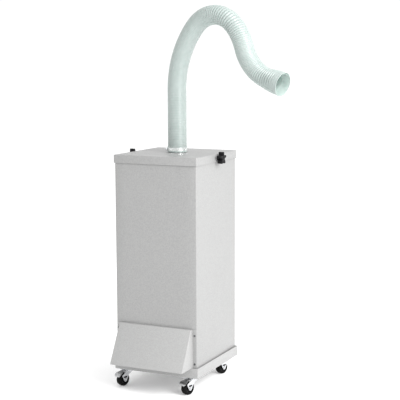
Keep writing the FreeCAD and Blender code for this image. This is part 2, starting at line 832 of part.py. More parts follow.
def hose_wire(start, end):
    """The centre line between two distances, as lines and arcs."""
    edges = []
    passed = 0.0
    for length, radius in HOSE_RUNS:
        low, high = max(start, passed), min(end, passed + float(length))
        passed += float(length)
        if high - low < 0.01:
            continue
        first, middle, last = (hose_point(s)[0] for s in (low, (low + high) / 2, high))
        if radius is None:
            edges.append(Part.LineSegment(first, last).toShape())
        else:
            edges.append(Part.Arc(first, middle, last).toShape())
    return Part.Wire(edges)


def hose_tube(name, start, end, outer, inner, trim=None):
    """A length of hose between two distances along the centre line, less a trimming shape."""
    spine = hose_wire(start, end)
    foot, direction = hose_point(start)

    def sweep(radius):
        circle = Part.Wire([Part.Circle(foot, direction, float(radius)).toShape()])
        return spine.makePipeShell([circle], True, False)

    hose = doc.addObject("Part::Feature", name)
    hose.Shape = sweep(outer).cut(sweep(inner))
    expected = math.pi * (float(outer) ** 2 - float(inner) ** 2) * (end - start)
    if abs(hose.Shape.Volume / expected - 1) > 0.01:
        raise RuntimeError(f"{name}: its volume is off")
    if trim is not None:
        hose.Shape = hose.Shape.cut(trim)
    return node(name, hose)


hose_outer = dim("hoseOuter")
hose_bore = dim("hoseBore")
CUFF_TALL = 24.0
bend_half = float(dim("bendHalf"))
lower_bend = float(dim("lowerBend"))
upper_bend = float(dim("upperBend"))
CUFF_LONG = 58.0
BELL_LONG = 36.0
mouth_cuff_start = hose_length - CUFF_LONG
hose_tube("hose_cuff", 1.0, CUFF_TALL, hose_outer + 0.5, COLLAR_OUTER + 0.3)
hose_tube("hose_riser", CUFF_TALL, lower_bend - bend_half, hose_outer, hose_bore)
hose_tube("hose_bend_lower", lower_bend - bend_half, lower_bend + bend_half, hose_outer, hose_bore)
ARCH_CUTS = (lower_bend + bend_half, 425.0, 595.0, upper_bend - bend_half)
for word, low, high in zip(("rise", "crown", "fall"), ARCH_CUTS, ARCH_CUTS[1:]):
    hose_tube(f"hose_arch_{word}", low, high, hose_outer, hose_bore)
hose_tube("hose_bend_upper", upper_bend - bend_half, upper_bend + bend_half, hose_outer, hose_bore)
mouth_end, mouth_direction = hose_point(hose_length)
mouth_base = mouth_end - mouth_direction * CUFF_LONG
beyond_tail = Part.makeCylinder(60, 40, mouth_base, mouth_direction)
hose_tube(
    "hose_tail", upper_bend + bend_half, mouth_cuff_start + 3, hose_outer, hose_bore, beyond_tail
)

# The mouth opens out in a short bell and ends in a plain round cuff.
mouth = make_body("mouth_body")
mouth_sketch = add_sketch(mouth, "XZ_Plane")
mouth_outer = dim("mouthOuter")
mouth_bore = dim("mouthBore")
draw_polygon(mouth_sketch, [
    (hose_bore, 0.0),
    (hose_outer, 0.0),
    (mouth_outer, BELL_LONG),
    (mouth_outer, CUFF_LONG),
    (mouth_bore, CUFF_LONG),
    (mouth_bore, BELL_LONG),
])
revolve(mouth, mouth_sketch, "V_Axis")
place(mouth, tuple(mouth_base), FreeCAD.Rotation(FreeCAD.Vector(0, 0, 1), mouth_direction))
node("hose_mouth", mouth)

# A worm-drive clamp grips the cuff on the collar, its screw housing towards the left.
clamp_level = lid_top + 7
CLAMP_WIDE = 12.0
clamp_inner = hose_outer + 0.5
clamp_band = tube((0, inlet_back, clamp_level), clamp_inner + 0.8, clamp_inner, CLAMP_WIDE)
screw_turn = FreeCAD.Rotation(FreeCAD.Vector(0, 0, 1), 25)
clamp_middle = clamp_level + CLAMP_WIDE / 2
HOUSING_OUT = 6.0
housing = box((0, 0, 0), (8, 16, CLAMP_WIDE - 1))
housing_corner = screw_turn.multVec(FreeCAD.Vector(-float(clamp_inner) - 8.4, -8, 0))
place(
    housing,
    (housing_corner.x, inlet_back + housing_corner.y, clamp_level + 0.5),
    screw_turn,
)
screw_start = screw_turn.multVec(FreeCAD.Vector(-float(clamp_inner) - 4.6, -14, 0))
screw_axis = screw_turn.multVec(FreeCAD.Vector(0, 1, 0))
screw_rotation = FreeCAD.Rotation(FreeCAD.Vector(0, 0, 1), screw_axis)


def clamp_rod(radius, start, length):
    rod = cylinder((0, 0, 0), radius, length)
    base = screw_start + screw_axis * start
    return place(rod, (base.x, inlet_back + base.y, clamp_middle), screw_rotation)


node("hose_clamp_band", cut(fuse(clamp_band, housing), clamp_rod(3.3, -2, 40)))
node("hose_clamp_screw", fuse(clamp_rod(3.2, 3, 22), clamp_rod(4.2, 0, 5)))

# ---------------------------------------------------------------- casters

PLATE_THICK = 2.5
RACE_THICK = 2.0
plate_base = dim("trayBase") - PLATE_THICK
race_base = plate_base - RACE_THICK
crown_top = race_base - 0.3
crown_base = crown_top - 2.0
wheel_radius = dim("wheelRadius")
wheel_half = dim("wheelWide") / 2
trail = dim("casterTrail")
KINGPIN_RADIUS = 5.0
LEG_THICK = 2.0

plates = []
for x, y in caster_places.values():
    plate = box(
        (x - PLATE_HALF[0], y - PLATE_HALF[1], plate_base),
        (2 * PLATE_HALF[0], 2 * PLATE_HALF[1], PLATE_THICK),
    )
    race = cylinder((x, y, race_base), 17, RACE_THICK + 1)
    kingpin = cylinder((x, y, crown_base - 1), KINGPIN_RADIUS, dim("trayBase") - crown_base + 1)
    kingpin_head = cylinder((x, y, crown_base - 2.3), KINGPIN_RADIUS + 2.5, 2)
    holes = [
        cylinder((x + i * BOLT_HALF[0], y + j * BOLT_HALF[1], plate_base - 2), 3.2, 8)
        for i in (-1, 1)
        for j in (-1, 1)
    ]
    plates.append(cut(fuse(plate, race, kingpin, kingpin_head), *holes))
node("caster_plates", group(*plates))
node(
    "caster_bolts",
    group(*[
        fuse(
            cylinder((x, y, plate_base - 2.5), 5, 2.5),
            cylinder((x, y, plate_base - 1), 3, 11),
        )
        for x, y in bolt_places
    ]),
)



def hex_nut(base, across_corners, thick, bore):
    """A six-sided nut with a plain bore."""
    prism = doc.addObject("Part::Prism", "Nut")
    prism.Polygon = 6
    prism.Circumradius = across_corners
    prism.Height = thick
    place(prism, base)
    return cut(prism, cylinder((base[0], base[1], base[2] - 1), bore, thick + 2))


node(
    "caster_nuts",
    group(*[hex_nut((x, y, tray_floor), 5.8, 4.5, 3.02) for x, y in bolt_places]),
)

heading = FreeCAD.Rotation(FreeCAD.Vector(0, 0, 1), float(dim("casterHeading")))


def caster_node(name, shape_object, spot):
    """Stand a piece, made with the swivel axis at the origin, at its caster's place and heading."""
    return node(name, place(shape_object, (spot[0], spot[1], 0), heading))


def caster(word, spot, braked):
    """One swivel caster: fork, axle, hub, tyre and, on the front pair, a foot brake."""
    leg_gap = wheel_half + 2.2
    crown = cylinder((0, 0, crown_base), 19, 2.0)
    legs = []
    for side in (-1, 1):
        leg = make_body("leg_body")
        inner_face = leg_gap if side > 0 else -leg_gap - LEG_THICK
        leg_sketch = add_sketch(leg, "YZ_Plane", inner_face)
        draw_polygon(leg_sketch, [
            (-14.0, crown_top),
            (-trail - 17, wheel_radius + 17),
            (-trail - 5, wheel_radius - 6),
            (-trail, wheel_radius - 8.5),
            (-trail + 5, wheel_radius - 6),
            (-trail + 17, wheel_radius + 17),
            (12.0, crown_base - 5),
            (12.0, crown_top),
        ])
        draw_polygon(leg_sketch, [
            (-trail - 10, wheel_radius + 13),
            (-trail - 6, wheel_radius + 6.5),
            (-trail + 6, wheel_radius + 6.5),
            (-trail + 10, wheel_radius + 13),
        ])
        pad(leg, leg_sketch, LEG_THICK)
        legs.append(leg)
    shoulders = box((-leg_gap - LEG_THICK, -9, crown_base), (2 * leg_gap + 2 * LEG_THICK, 18, 2.0))
    bores = [
        cylinder((0, 0, crown_base - 5), KINGPIN_RADIUS + 0.08, 12),
        cylinder((-30, -trail, wheel_radius), dim("axleRadius") + 0.05, 60, "X"),
    ]
    caster_node(f"fork_{word}", cut(fuse(crown, shoulders, *legs), *bores), spot)
    axle_half = leg_gap + LEG_THICK
    axle = fuse(
        cylinder((-axle_half - 3, -trail, wheel_radius), dim("axleRadius"), 2 * axle_half + 6, "X"),
        cylinder((axle_half, -trail, wheel_radius), 5, 3, "X"),
        cylinder((-axle_half - 3, -trail, wheel_radius), 5, 3, "X"),
    )
    caster_node(f"axle_{word}", axle, spot)
    hub_rim = tube(
        (-wheel_half + 2, -trail, wheel_radius),
        dim("hubRadius"),
        dim("axleRadius") + 0.05,
        2 * wheel_half - 4,
        "X",
    )
    hub_boss = tube(
        (-wheel_half - 1.5, -trail, wheel_radius), 6.5, dim("axleRadius") + 0.05,
        2 * wheel_half + 3, "X",
    )
    caster_node(f"hub_{word}", fuse(hub_rim, hub_boss), spot)
    tyre = make_body("tyre_body")
    tyre_sketch = add_sketch(tyre, "XY_Plane")
    draw_polygon(tyre_sketch, [
        (-wheel_half, dim("hubRadius")),
        (-wheel_half, wheel_radius - 4),
        (-wheel_half + 1.5, wheel_radius - 1),
        (-wheel_half + 5, wheel_radius),
        (wheel_half - 5, wheel_radius),
        (wheel_half - 1.5, wheel_radius - 1),
        (wheel_half, wheel_radius - 4),
        (wheel_half, dim("hubRadius")),
    ])
    revolve(tyre, tyre_sketch, "H_Axis")
    offset = heading.multVec(FreeCAD.Vector(0, -float(trail), 0))
    place(tyre, (spot[0] + offset.x, spot[1] + offset.y, wheel_radius), heading)
    node(f"tyre_{word}", tyre)
    if braked:
        pedal = make_body("pedal_body")
        pedal_sketch = add_sketch(pedal, "YZ_Plane")
        draw_polygon(pedal_sketch, pedal_outline())
        pad(pedal, pedal_sketch, 20, midplane=True)
        foot = make_body("foot_body")
        foot_sketch = add_sketch(foot, "YZ_Plane")
        draw_polygon(foot_sketch, foot_outline())
        pad(foot, foot_sketch, 32, midplane=True)
        roll_back, roll_level = rim_point(30.0, 80)
        roll = cylinder((-10, roll_back, roll_level), 1.9, 20, "X")
        caster_node(f"brake_{word}", fuse(pedal, foot, roll), spot)


def rim_point(radius, angle):
    """A point round the wheel, in the fork's own side view: 90 degrees is on top, 180 in front."""
    turn = math.radians(angle)
    return (-trail + radius * math.cos(turn), wheel_radius + radius * math.sin(turn))


def pedal_outline():
    """The brake strip, which curves over the tyre from the crown to the front."""
    angles = [80, 95, 110, 125, 140, 155]
    outside = [rim_point(31.0, angle) for angle in angles]
    inside = [rim_point(29.0, angle) for angle in reversed(angles)]
    return outside + inside


def foot_outline():
    """The wide foot plate on the outer end of the strip."""
    return [rim_point(30.8, 122), rim_point(36, 146), rim_point(34, 152), rim_point(29.2, 156),
            rim_point(29.2, 124)]


for word, spot in caster_places.items():
    caster(word, spot, word.startswith("front"))

# ---------------------------------------------------------------- check and write

doc.recompute()
failed = [item.Label for item in doc.Objects if {"Invalid", "Error"} & set(item.State)]
if failed:
    raise RuntimeError(f"these objects failed: {failed}")
os.makedirs("parts", exist_ok=True)
for name, item in NODES.items():
    shape = item.Shape
    if shape.isNull() or not shape.isValid() or not shape.Solids:
        raise RuntimeError(f"{name}: its shape is not a valid solid")
    shape.exportStep(f"parts/{name}.step")
    extent = shape.BoundBox
    print(
        f"{name}: {len(shape.Solids)} solids, {shape.Volume / 1000:.1f} cm3, "
        f"x {extent.XMin:.1f}..{extent.XMax:.1f}, y {extent.YMin:.1f}..{extent.YMax:.1f}, "
        f"z {extent.ZMin:.1f}..{extent.ZMax:.1f}"
    )
print(f"{len(NODES)} nodes; hose length {hose_length:.1f}")
for label, distance in (("lower bend", lower_bend), ("upper bend", upper_bend), ("mouth", hose_length)):
    point, direction = hose_point(distance)
    print(label, [round(v, 2) for v in point], [round(v, 4) for v in direction])
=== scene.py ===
import json
import math

import bmesh
import bpy
from mathutils import Matrix, Vector


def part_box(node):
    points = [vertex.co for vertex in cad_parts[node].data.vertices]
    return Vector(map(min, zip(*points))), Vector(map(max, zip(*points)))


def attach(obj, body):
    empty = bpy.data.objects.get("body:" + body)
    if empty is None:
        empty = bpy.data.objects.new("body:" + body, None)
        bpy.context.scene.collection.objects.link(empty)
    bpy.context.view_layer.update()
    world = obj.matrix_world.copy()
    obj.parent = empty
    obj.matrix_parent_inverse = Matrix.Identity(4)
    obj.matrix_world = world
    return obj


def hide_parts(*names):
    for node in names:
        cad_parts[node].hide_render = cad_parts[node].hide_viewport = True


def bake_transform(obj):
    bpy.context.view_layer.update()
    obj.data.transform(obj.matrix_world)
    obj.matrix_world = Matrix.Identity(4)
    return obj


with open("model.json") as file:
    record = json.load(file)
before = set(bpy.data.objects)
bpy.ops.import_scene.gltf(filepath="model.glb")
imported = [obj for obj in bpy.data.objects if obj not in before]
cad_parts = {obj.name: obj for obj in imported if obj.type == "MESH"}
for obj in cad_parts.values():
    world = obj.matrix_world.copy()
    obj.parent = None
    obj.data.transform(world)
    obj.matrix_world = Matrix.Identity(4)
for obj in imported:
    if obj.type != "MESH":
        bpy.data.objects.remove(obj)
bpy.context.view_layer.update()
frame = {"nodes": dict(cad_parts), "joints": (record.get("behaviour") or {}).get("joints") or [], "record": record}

# %% [markdown]
# # Solder fume extractor
# The object is a tall sheet-steel cabinet on casters, with a lift-off lid and a corrugated hose
# that stands up by itself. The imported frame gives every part's place, so this script only makes
# the looks: it reads each part's box and each joint's axis, and builds the visible surfaces around
# them.

# %% Read the frame
MM = 0.001
joints = {joint["name"]: joint for joint in frame["joints"]}
node_objects = frame["nodes"]

# %% [markdown]
# ## The camera
# A long lens from the front right, a little above the lid, keeps the cabinet's edges nearly
# upright. It is aimed by its turn and pitch, not at a target, as on a level tripod.

# %% Camera
CAMERA_TURN = math.radians(25.51)
CAMERA_PITCH = math.radians(7.6)
CAMERA_ROLL = math.radians(-0.22)
CAMERA_PLACE = Vector((1.862, -3.697, 1.240))
camera_data = bpy.data.cameras.new("studio_camera")
camera_data.lens = 100
camera_data.sensor_width = 36
camera = bpy.data.objects.new("studio_camera", camera_data)
bpy.context.scene.collection.objects.link(camera)
camera.matrix_world = (
    Matrix.Translation(CAMERA_PLACE)
    @ Matrix.Rotation(CAMERA_TURN, 4, "Z")
    @ Matrix.Rotation(math.pi / 2 - CAMERA_PITCH, 4, "X")
    @ Matrix.Rotation(CAMERA_ROLL, 4, "Z")
)
bpy.context.scene.camera = camera
print("camera at", list(CAMERA_PLACE))

# %% [markdown]
# ## Studio
# A white floor and a white world make the pale background. The floor gives a little light of its
# own, as a light table does, so that shadows stay soft. A large key lamp from the right gives the
# broad, even tones of painted sheet steel, and a weak one from above fills in. The Standard view
# transform keeps white paper white, where a filmic one would grey it.

# %% Floor, world and lights


def set_inputs(node, values):
    """Set a node's inputs by their names."""
    for socket, value in values.items():
        node.inputs[socket].default_value = value


def area_light(name, place, aim, size, power):
    """A square lamp at a place, turned to face a point."""
    data = bpy.data.lights.new(name, "AREA")
    data.size = size
    data.energy = power
    lamp = bpy.data.objects.new(name, data)
    bpy.context.scene.collection.objects.link(lamp)
    lamp.location = place
    direction = Vector(aim) - Vector(place)
    lamp.rotation_euler = direction.to_track_quat("-Z", "Y").to_euler()


floor_bm = bmesh.new()
bmesh.ops.create_grid(floor_bm, x_segments=1, y_segments=1, size=60)
floor_mesh = bpy.data.meshes.new("studio_floor")
floor_bm.to_mesh(floor_mesh)
floor_bm.free()
floor = bpy.data.objects.new("studio_floor", floor_mesh)
bpy.context.scene.collection.objects.link(floor)
floor_material = bpy.data.materials.new("floor_white")
floor_material.use_nodes = True
set_inputs(floor_material.node_tree.nodes["Principled BSDF"], {
    "Base Color": (0.95, 0.95, 0.95, 1),
    "Roughness": 0.9,
    "Emission Color": (1, 1, 1, 1),
    "Emission Strength": 0.14,
})
floor_mesh.materials.append(floor_material)

world = bpy.data.worlds.new("studio_world")
world.use_nodes = True
set_inputs(world.node_tree.nodes["Background"], {"Color": (1, 1, 1, 1), "Strength": 1.05})
bpy.context.scene.world = world
bpy.context.scene.view_settings.view_transform = "Standard"

area_light("key_right", (3.05, -1.15, 2.4), (0.1, 0, 0.8), 2.0, 160)
area_light("top_soft", (0.6, -0.4, 3.8), (0, 0, 0.9), 1.8, 2)
print("studio ready")

# %% [markdown]
# ## Materials
# Every finish is built from nodes on Object coordinates, so its grain keeps one real scale over
# all the pieces that share it. One helper makes the shader and others add colour, gloss and relief
# from a texture. Powder coat, moulded plastic and rubber differ mostly in that fine relief.

# %% Material helpers


def new_material(name, colour, roughness, metallic=0.0):
    """A node material with a plain shader, and the parts that a finish adds to."""
    material = bpy.data.materials.new(name)
    material.use_nodes = True
    shader = material.node_tree.nodes["Principled BSDF"]
    look = {"Base Color": (*colour, 1), "Roughness": roughness, "Metallic": metallic}
    set_inputs(shader, look)
    material.diffuse_color = (*colour, 1)
    return material, material.node_tree, shader


def texture(tree, kind, scale, stretch=(1, 1, 1), **settings):
    """A texture's value on Object coordinates; scale is in repeats per metre."""
    coordinates = tree.nodes.new("ShaderNodeTexCoord")
    mapping = tree.nodes.new("ShaderNodeMapping")
    set_inputs(mapping, {"Scale": stretch})
    tree.links.new(coordinates.outputs["Object"], mapping.inputs["Vector"])
    node = tree.nodes.new(f"ShaderNodeTex{kind}")
    tree.links.new(mapping.outputs["Vector"], node.inputs["Vector"])
    set_inputs(node, {"Scale": scale, **settings})
    return node.outputs["Distance" if kind == "Voronoi" else "Fac"]


def tint(tree, shader, source, low, high, positions=(0.3, 0.7)):
    """Colour variation: a texture's value runs from one colour to another."""
    ramp = tree.nodes.new("ShaderNodeValToRGB")
    for element, position, colour in zip(ramp.color_ramp.elements, positions, (low, high)):
        element.position = position
        element.color = (*colour, 1)
    tree.links.new(source, ramp.inputs["Fac"])
    tree.links.new(ramp.outputs["Color"], shader.inputs["Base Color"])


def gloss(tree, shader, source, low, high):
    """Roughness variation: a texture's value is spread between two roughnesses."""
    spread = tree.nodes.new("ShaderNodeMapRange")
    set_inputs(spread, {"From Min": 0.3, "From Max": 0.7, "To Min": low, "To Max": high})
    tree.links.new(source, spread.inputs["Value"])
    tree.links.new(spread.outputs["Result"], shader.inputs["Roughness"])


def relief(tree, shader, source, strength, depth):
    """A fine bump from a texture; depth is its real height in metres."""
    bump = tree.nodes.new("ShaderNodeBump")
    set_inputs(bump, {"Strength": strength, "Distance": depth})
    tree.links.new(source, bump.inputs["Height"])
    tree.links.new(bump.outputs["Normal"], shader.inputs["Normal"])


def let_light_in(shader, weight, depth):
    """Thin plastic lets light into its wall, to a depth in metres."""
    reach = {"Subsurface Radius": (0.8, 1.0, 0.95), "Subsurface Scale": depth}
    set_inputs(shader, {"Subsurface Weight": weight, **reach})


def make_finish(
    name, colour, roughness, metallic, kind, scale, stretch=(1, 1, 1),
    colours=(), positions=(0.3, 0.7), glosses=(), bump=(), **settings,
):
    """A finish whose colour, gloss and relief all follow one texture."""
    material, tree, shader = new_material(name, colour, roughness, metallic)
    source = texture(tree, kind, scale, stretch, **settings)
    if colours:
        tint(tree, shader, source, *colours, positions)
    if glosses:
        gloss(tree, shader, source, *glosses)
    if bump:
        relief(tree, shader, source, *bump)
    return material


# %% [markdown]
# ### Powder coat
# Fine-textured powder paint melts into a skin with a pebbled relief a few millimetres across. One
# fine noise gives both the relief and the colour: random flecks, with painted shade in the relief's
# hollows and painted light on its crests. A broad noise lets the gloss drift slightly over a large
# panel. The hood and the tray get a copy of the paint a shade paler than the cabinet's: on the hood
# it is painted light, for the extra light that its upward-tilted face catches.

# %% Powder coat


def make_powder_coat(name, grey):
    """Light grey powder paint around a given brightness."""
    paint, tree, shader = new_material(name, (grey, grey, grey * 0.994), 0.42)
    pebbles_and_painted_shade = texture(tree, "Noise", 270, Detail=6.0, Roughness=0.75)
    drift = texture(tree, "Noise", 3, Detail=2.0)
    # Painted shade and light: the fleck colours run from a darker grey in the relief's hollows to a paler one on
    # its crests.
    shaded_hollow_grey, lit_crest_grey = grey * 0.81, grey * 1.20
    low, high = (shaded_hollow_grey, shaded_hollow_grey, shaded_hollow_grey * 0.996), (lit_crest_grey, lit_crest_grey, lit_crest_grey * 0.992)
    tint(tree, shader, pebbles_and_painted_shade, low, high, (0.25, 0.75))
    gloss(tree, shader, drift, 0.34, 0.44)
    relief(tree, shader, pebbles_and_painted_shade, 0.35, 0.0004)
    return paint


powder_coat = make_powder_coat("light_grey_powder_coat", 0.288)
# Painted light: a paler copy of the cabinet's paint, shared by the hood and the tray; on the hood it stands for
# the extra light that its upward-tilted face catches.
painted_light_powder_coat = make_powder_coat("painted_light_grey_powder_coat", 0.326)

# %% Hose plastic
hose_plastic, tree, shader = new_material("mint_hose_plastic", (0.34, 0.39, 0.375), 0.34)
cloud = texture(tree, "Noise", 40, Detail=5.0, Roughness=0.6)
tint(tree, shader, cloud, (0.325, 0.375, 0.36), (0.355, 0.405, 0.39))
relief(tree, shader, texture(tree, "Noise", 900, Detail=2.0), 0.12, 0.0001)
let_light_in(shader, 0.25, 0.003)

# %% Hose bore lining, painted paler for light through the wall
hose_bore_painted_light, tree, shader = new_material("mint_hose_bore_painted_light", (0.42, 0.54, 0.50), 0.4)
haze = texture(tree, "Noise", 60, Detail=4.0)
tint(tree, shader, haze, (0.40, 0.52, 0.48), (0.45, 0.57, 0.53))
let_light_in(shader, 0.5, 0.008)

# %% Black moulded plastic
black_plastic, tree, shader = new_material("black_moulded_plastic", (0.008, 0.008, 0.009), 0.42)
wear = texture(tree, "Noise", 60, Detail=5.0)
tint(tree, shader, wear, (0.004, 0.004, 0.005), (0.009, 0.009, 0.010))
set_inputs(shader, {"Specular IOR Level": 0.16})
gloss(tree, shader, wear, 0.34, 0.5)
relief(tree, shader, texture(tree, "Noise", 1400, Detail=2.0), 0.3, 0.00012)

# %% Rubber tread
tread_rubber, tree, shader = new_material("black_rubber", (0.014, 0.014, 0.014), 0.62)
dust = texture(tree, "Noise", 180, Detail=6.0, Roughness=0.65)
tint(tree, shader, dust, (0.002, 0.002, 0.002), (0.008, 0.008, 0.0075))
set_inputs(shader, {"Specular IOR Level": 0.08})
relief(tree, shader, dust, 0.25, 0.0002)

# %% Marking paint and switch plastic
marking_paint = make_finish(
    "white_marking_paint", (0.72, 0.72, 0.70), 0.36, 0.0, "Noise", 130,
    colours=((0.62, 0.62, 0.60), (0.76, 0.76, 0.745)), glosses=(0.3, 0.45),
    Detail=6.0, Roughness=0.65,
)
switch_black = make_finish(
    "gloss_black_plastic", (0.015, 0.015, 0.016), 0.2, 0.0, "Noise", 120,
    glosses=(0.16, 0.28), Detail=4.0,
)

# %% Metals
zinc_plate = make_finish(
    "bright_zinc_plate", (0.72, 0.73, 0.75), 0.26, 1.0, "Noise", 90, (1, 1, 6),
    colours=((0.52, 0.53, 0.55), (0.78, 0.79, 0.80)), glosses=(0.16, 0.3), bump=(0.12, 0.0001),
    Detail=5.0,
)
dull_zinc = make_finish(
    "dull_pressed_zinc", (0.42, 0.425, 0.43), 0.3, 1.0, "Noise", 150,
    colours=((0.28, 0.285, 0.29), (0.56, 0.565, 0.57)), glosses=(0.24, 0.42),
    bump=(0.15, 0.0001), Detail=6.0, Roughness=0.65,
)
# Painted shade: the screw heads are made near-black, to look as dark as the shade in their recesses.
screw_steel_painted_shade = make_finish(
    "screw_steel_darkened_for_shade", (0.10, 0.10, 0.105), 0.38, 1.0, "Noise", 400,
    colours=((0.06, 0.06, 0.065), (0.16, 0.16, 0.165)), glosses=(0.3, 0.46), Detail=4.0,
)
band_steel = make_finish(
    "polished_band_steel", (0.82, 0.85, 0.84), 0.24, 1.0, "Noise", 300, (1, 1, 9),
    glosses=(0.18, 0.32), bump=(0.1, 0.00005), Detail=4.0,
)
galvanised = make_finish(
    "galvanised_sheet", (0.60, 0.61, 0.62), 0.4, 0.9, "Voronoi", 90, positions=(0.0, 0.6),
    colours=((0.52, 0.53, 0.54), (0.68, 0.69, 0.70)), glosses=(0.34, 0.5),
)
turned_brass = make_finish(
    "turned_brass", (0.70, 0.50, 0.22), 0.3, 1.0, "Wave", 500, glosses=(0.24, 0.36),
    Distortion=1.0,
)

# %% Foam, filter pad, pleated paper and carbon granules
gasket_foam = make_finish(
    "black_foam", (0.02, 0.02, 0.02), 0.9, 0.0, "Voronoi", 1500, positions=(0, 0.6),
    colours=((0.03, 0.03, 0.03), (0.012, 0.012, 0.012)), bump=(0.5, 0.0004),
)
filter_pad = make_finish(
    "polyester_pad", (0.80, 0.83, 0.86), 0.95, 0.0, "Noise", 420, (1, 4, 1),
    colours=((0.62, 0.66, 0.70), (0.88, 0.90, 0.92)), bump=(0.8, 0.001),
    Detail=8.0, Roughness=0.75,
)
filter_paper = make_finish(
    "pleated_paper", (0.86, 0.85, 0.80), 0.9, 0.0, "Wave", 35, positions=(0.1, 0.9),
    colours=((0.60, 0.59, 0.55), (0.90, 0.89, 0.85)), bump=(0.8, 0.003),
)
carbon_grains = make_finish(
    "carbon_granules", (0.02, 0.02, 0.02), 0.7, 0.0, "Voronoi", 350, positions=(0, 0.6),
    colours=((0.05, 0.05, 0.05), (0.008, 0.008, 0.008)), bump=(0.8, 0.0015),
)

# %% [markdown]
# ## Dressing the carried-over parts
# A part whose CAD shape is already right keeps it and only gets its finish. The record says which
# slot each node belongs to, so one table from slot to material dresses them all.

# %% Dress the CAD nodes
slot_materials = {
    "cabinet_paint": powder_coat,
    "bare_steel": galvanised,
    "zinc": zinc_plate,
    "hose_plastic": hose_plastic,
    "clamp_steel": band_steel,
    "black_plastic": black_plastic,
    "dark_gloss": switch_black,
    "wheel_rubber": tread_rubber,
    "wheel_hub": black_plastic,
    "gasket_foam": gasket_foam,
    "filter_medium": filter_paper,
    "carbon_medium": carbon_grains,
    "prefilter_pad": filter_pad,
    "brass": turned_brass,
}
slot_of_node = {entry["node"]: entry["material_slot"] for entry in frame["record"]["subparts"]}
for node, slot in slot_of_node.items():
    node_objects[node].data.materials.clear()
    node_objects[node].data.materials.append(slot_materials[slot])
print("dressed", len(slot_of_node), "nodes")

# %% [markdown]
# ## Mesh helpers
# The pieces below are bent sheets, turned parts and swept tubes. A few short helpers cover them:
# put a box in a bmesh, round some edges, turn a profile about an axis, and finish a bmesh as a
# piece that rides on its body and stands for its CAD nodes.

# %% Mesh helpers
FLAT = 0.999
TOUCH = 1e-6


def in_mm(points):
    """Points given in millimetres, in the scene's metres."""
    return [(first * MM, second * MM) for first, second in points]


def add_box(bm, low, high):
    """A box between two corners; returns its vertices."""
    low, high = Vector(low), Vector(high)
    size = high - low
    matrix = Matrix.Translation((low + high) / 2) @ Matrix.Diagonal((*size, 1))
    return bmesh.ops.create_cube(bm, size=1, matrix=matrix)["verts"]


def faces_facing(bm, direction, threshold=0.9):
    """The faces whose normal points along a direction."""
    bm.normal_update()
    direction = Vector(direction)
    return [face for face in bm.faces if face.normal.dot(direction) > threshold]


def shift(x, y, z):
    return Matrix.Translation((x, y, z))


def middle_of(face):
    return face.calc_center_median()


def remove_faces(bm, faces):
    bmesh.ops.delete(bm, geom=faces, context="FACES")


def slice_faces(bm, directions, point, normal):
    """Cut the flat faces that point along some directions with a plane."""
    geometry = set()
    for direction in directions:
        for face in faces_facing(bm, direction, FLAT):
            geometry.update([face], face.edges, face.verts)
    bmesh.ops.bisect_plane(bm, geom=list(geometry), plane_co=point, plane_no=normal)


def turn_outwards(bm):
    """Make every face's normal point out."""
    bmesh.ops.recalc_face_normals(bm, faces=bm.faces[:])


def verts_in(geometry):
    """The vertices among the things that an operator made."""
    return [item for item in geometry if isinstance(item, bmesh.types.BMVert)]


def add_rod(bm, radius, length, sides, place=Matrix(), end_radius=None):
    """A capped rod about Z, centred on its place; with an end radius it tapers."""
    bmesh.ops.create_cone(
        bm, segments=sides, radius1=radius, radius2=end_radius or radius, depth=length,
        cap_ends=True, matrix=place,
    )


def add_part(bm, part):
    """Put everything that is in one bmesh into another."""
    holder = bpy.data.meshes.new("part")
    part.to_mesh(holder)
    part.free()
    bm.from_mesh(holder)
    bpy.data.meshes.remove(holder)


def round_edges(bm, edges, width, segments=3):
    """Bevel some edges to a round."""
    bmesh.ops.bevel(
        bm, geom=edges, offset=width, offset_type="OFFSET", segments=segments, profile=0.5,
        affect="EDGES", material=-1, clamp_overlap=True,
    )


def sharp_edges(bm, angle=30):
    """The edges where two faces meet at more than an angle."""
    bm.normal_update()
    limit = math.radians(angle)
    return [
        edge for edge in bm.edges if len(edge.link_faces) == 2 and edge.calc_face_angle(0) > limit
    ]


def turn_profile(bm, profile, steps=48, closed=True):
    """Spin a profile of (distance from the axis, height) points once round the Z axis."""
    verts = [bm.verts.new((radius, 0, height)) for radius, height in profile]
    pairs = list(zip(verts, verts[1:]))
    if closed:
        pairs.append((verts[-1], verts[0]))
    edges = [bm.edges.new(pair) for pair in pairs]
    bmesh.ops.spin(
        bm, geom=verts + edges, cent=(0, 0, 0), axis=(0, 0, 1), angle=2 * math.pi, steps=steps,
        use_merge=True, use_duplicate=False,
    )
    bmesh.ops.remove_doubles(bm, verts=bm.verts[:], dist=TOUCH)
    turn_outwards(bm)


def mirrored(half):
    """Half of a closed profile, and then its mirror image across height zero."""
    return half + [(radius, -height) for radius, height in reversed(half)]


def move(bm, matrix, verts=None):
    """Put a bmesh, or some of its vertices, in place."""
    bmesh.ops.transform(bm, matrix=matrix, verts=bm.verts[:] if verts is None else verts)


def along(direction, place=(0, 0, 0)):
    """A matrix that stands local Z along a direction, at a place."""
    turn = Vector((0, 0, 1)).rotation_difference(Vector(direction)).to_matrix().to_4x4()
    return Matrix.Translation(Vector(place)) @ turn


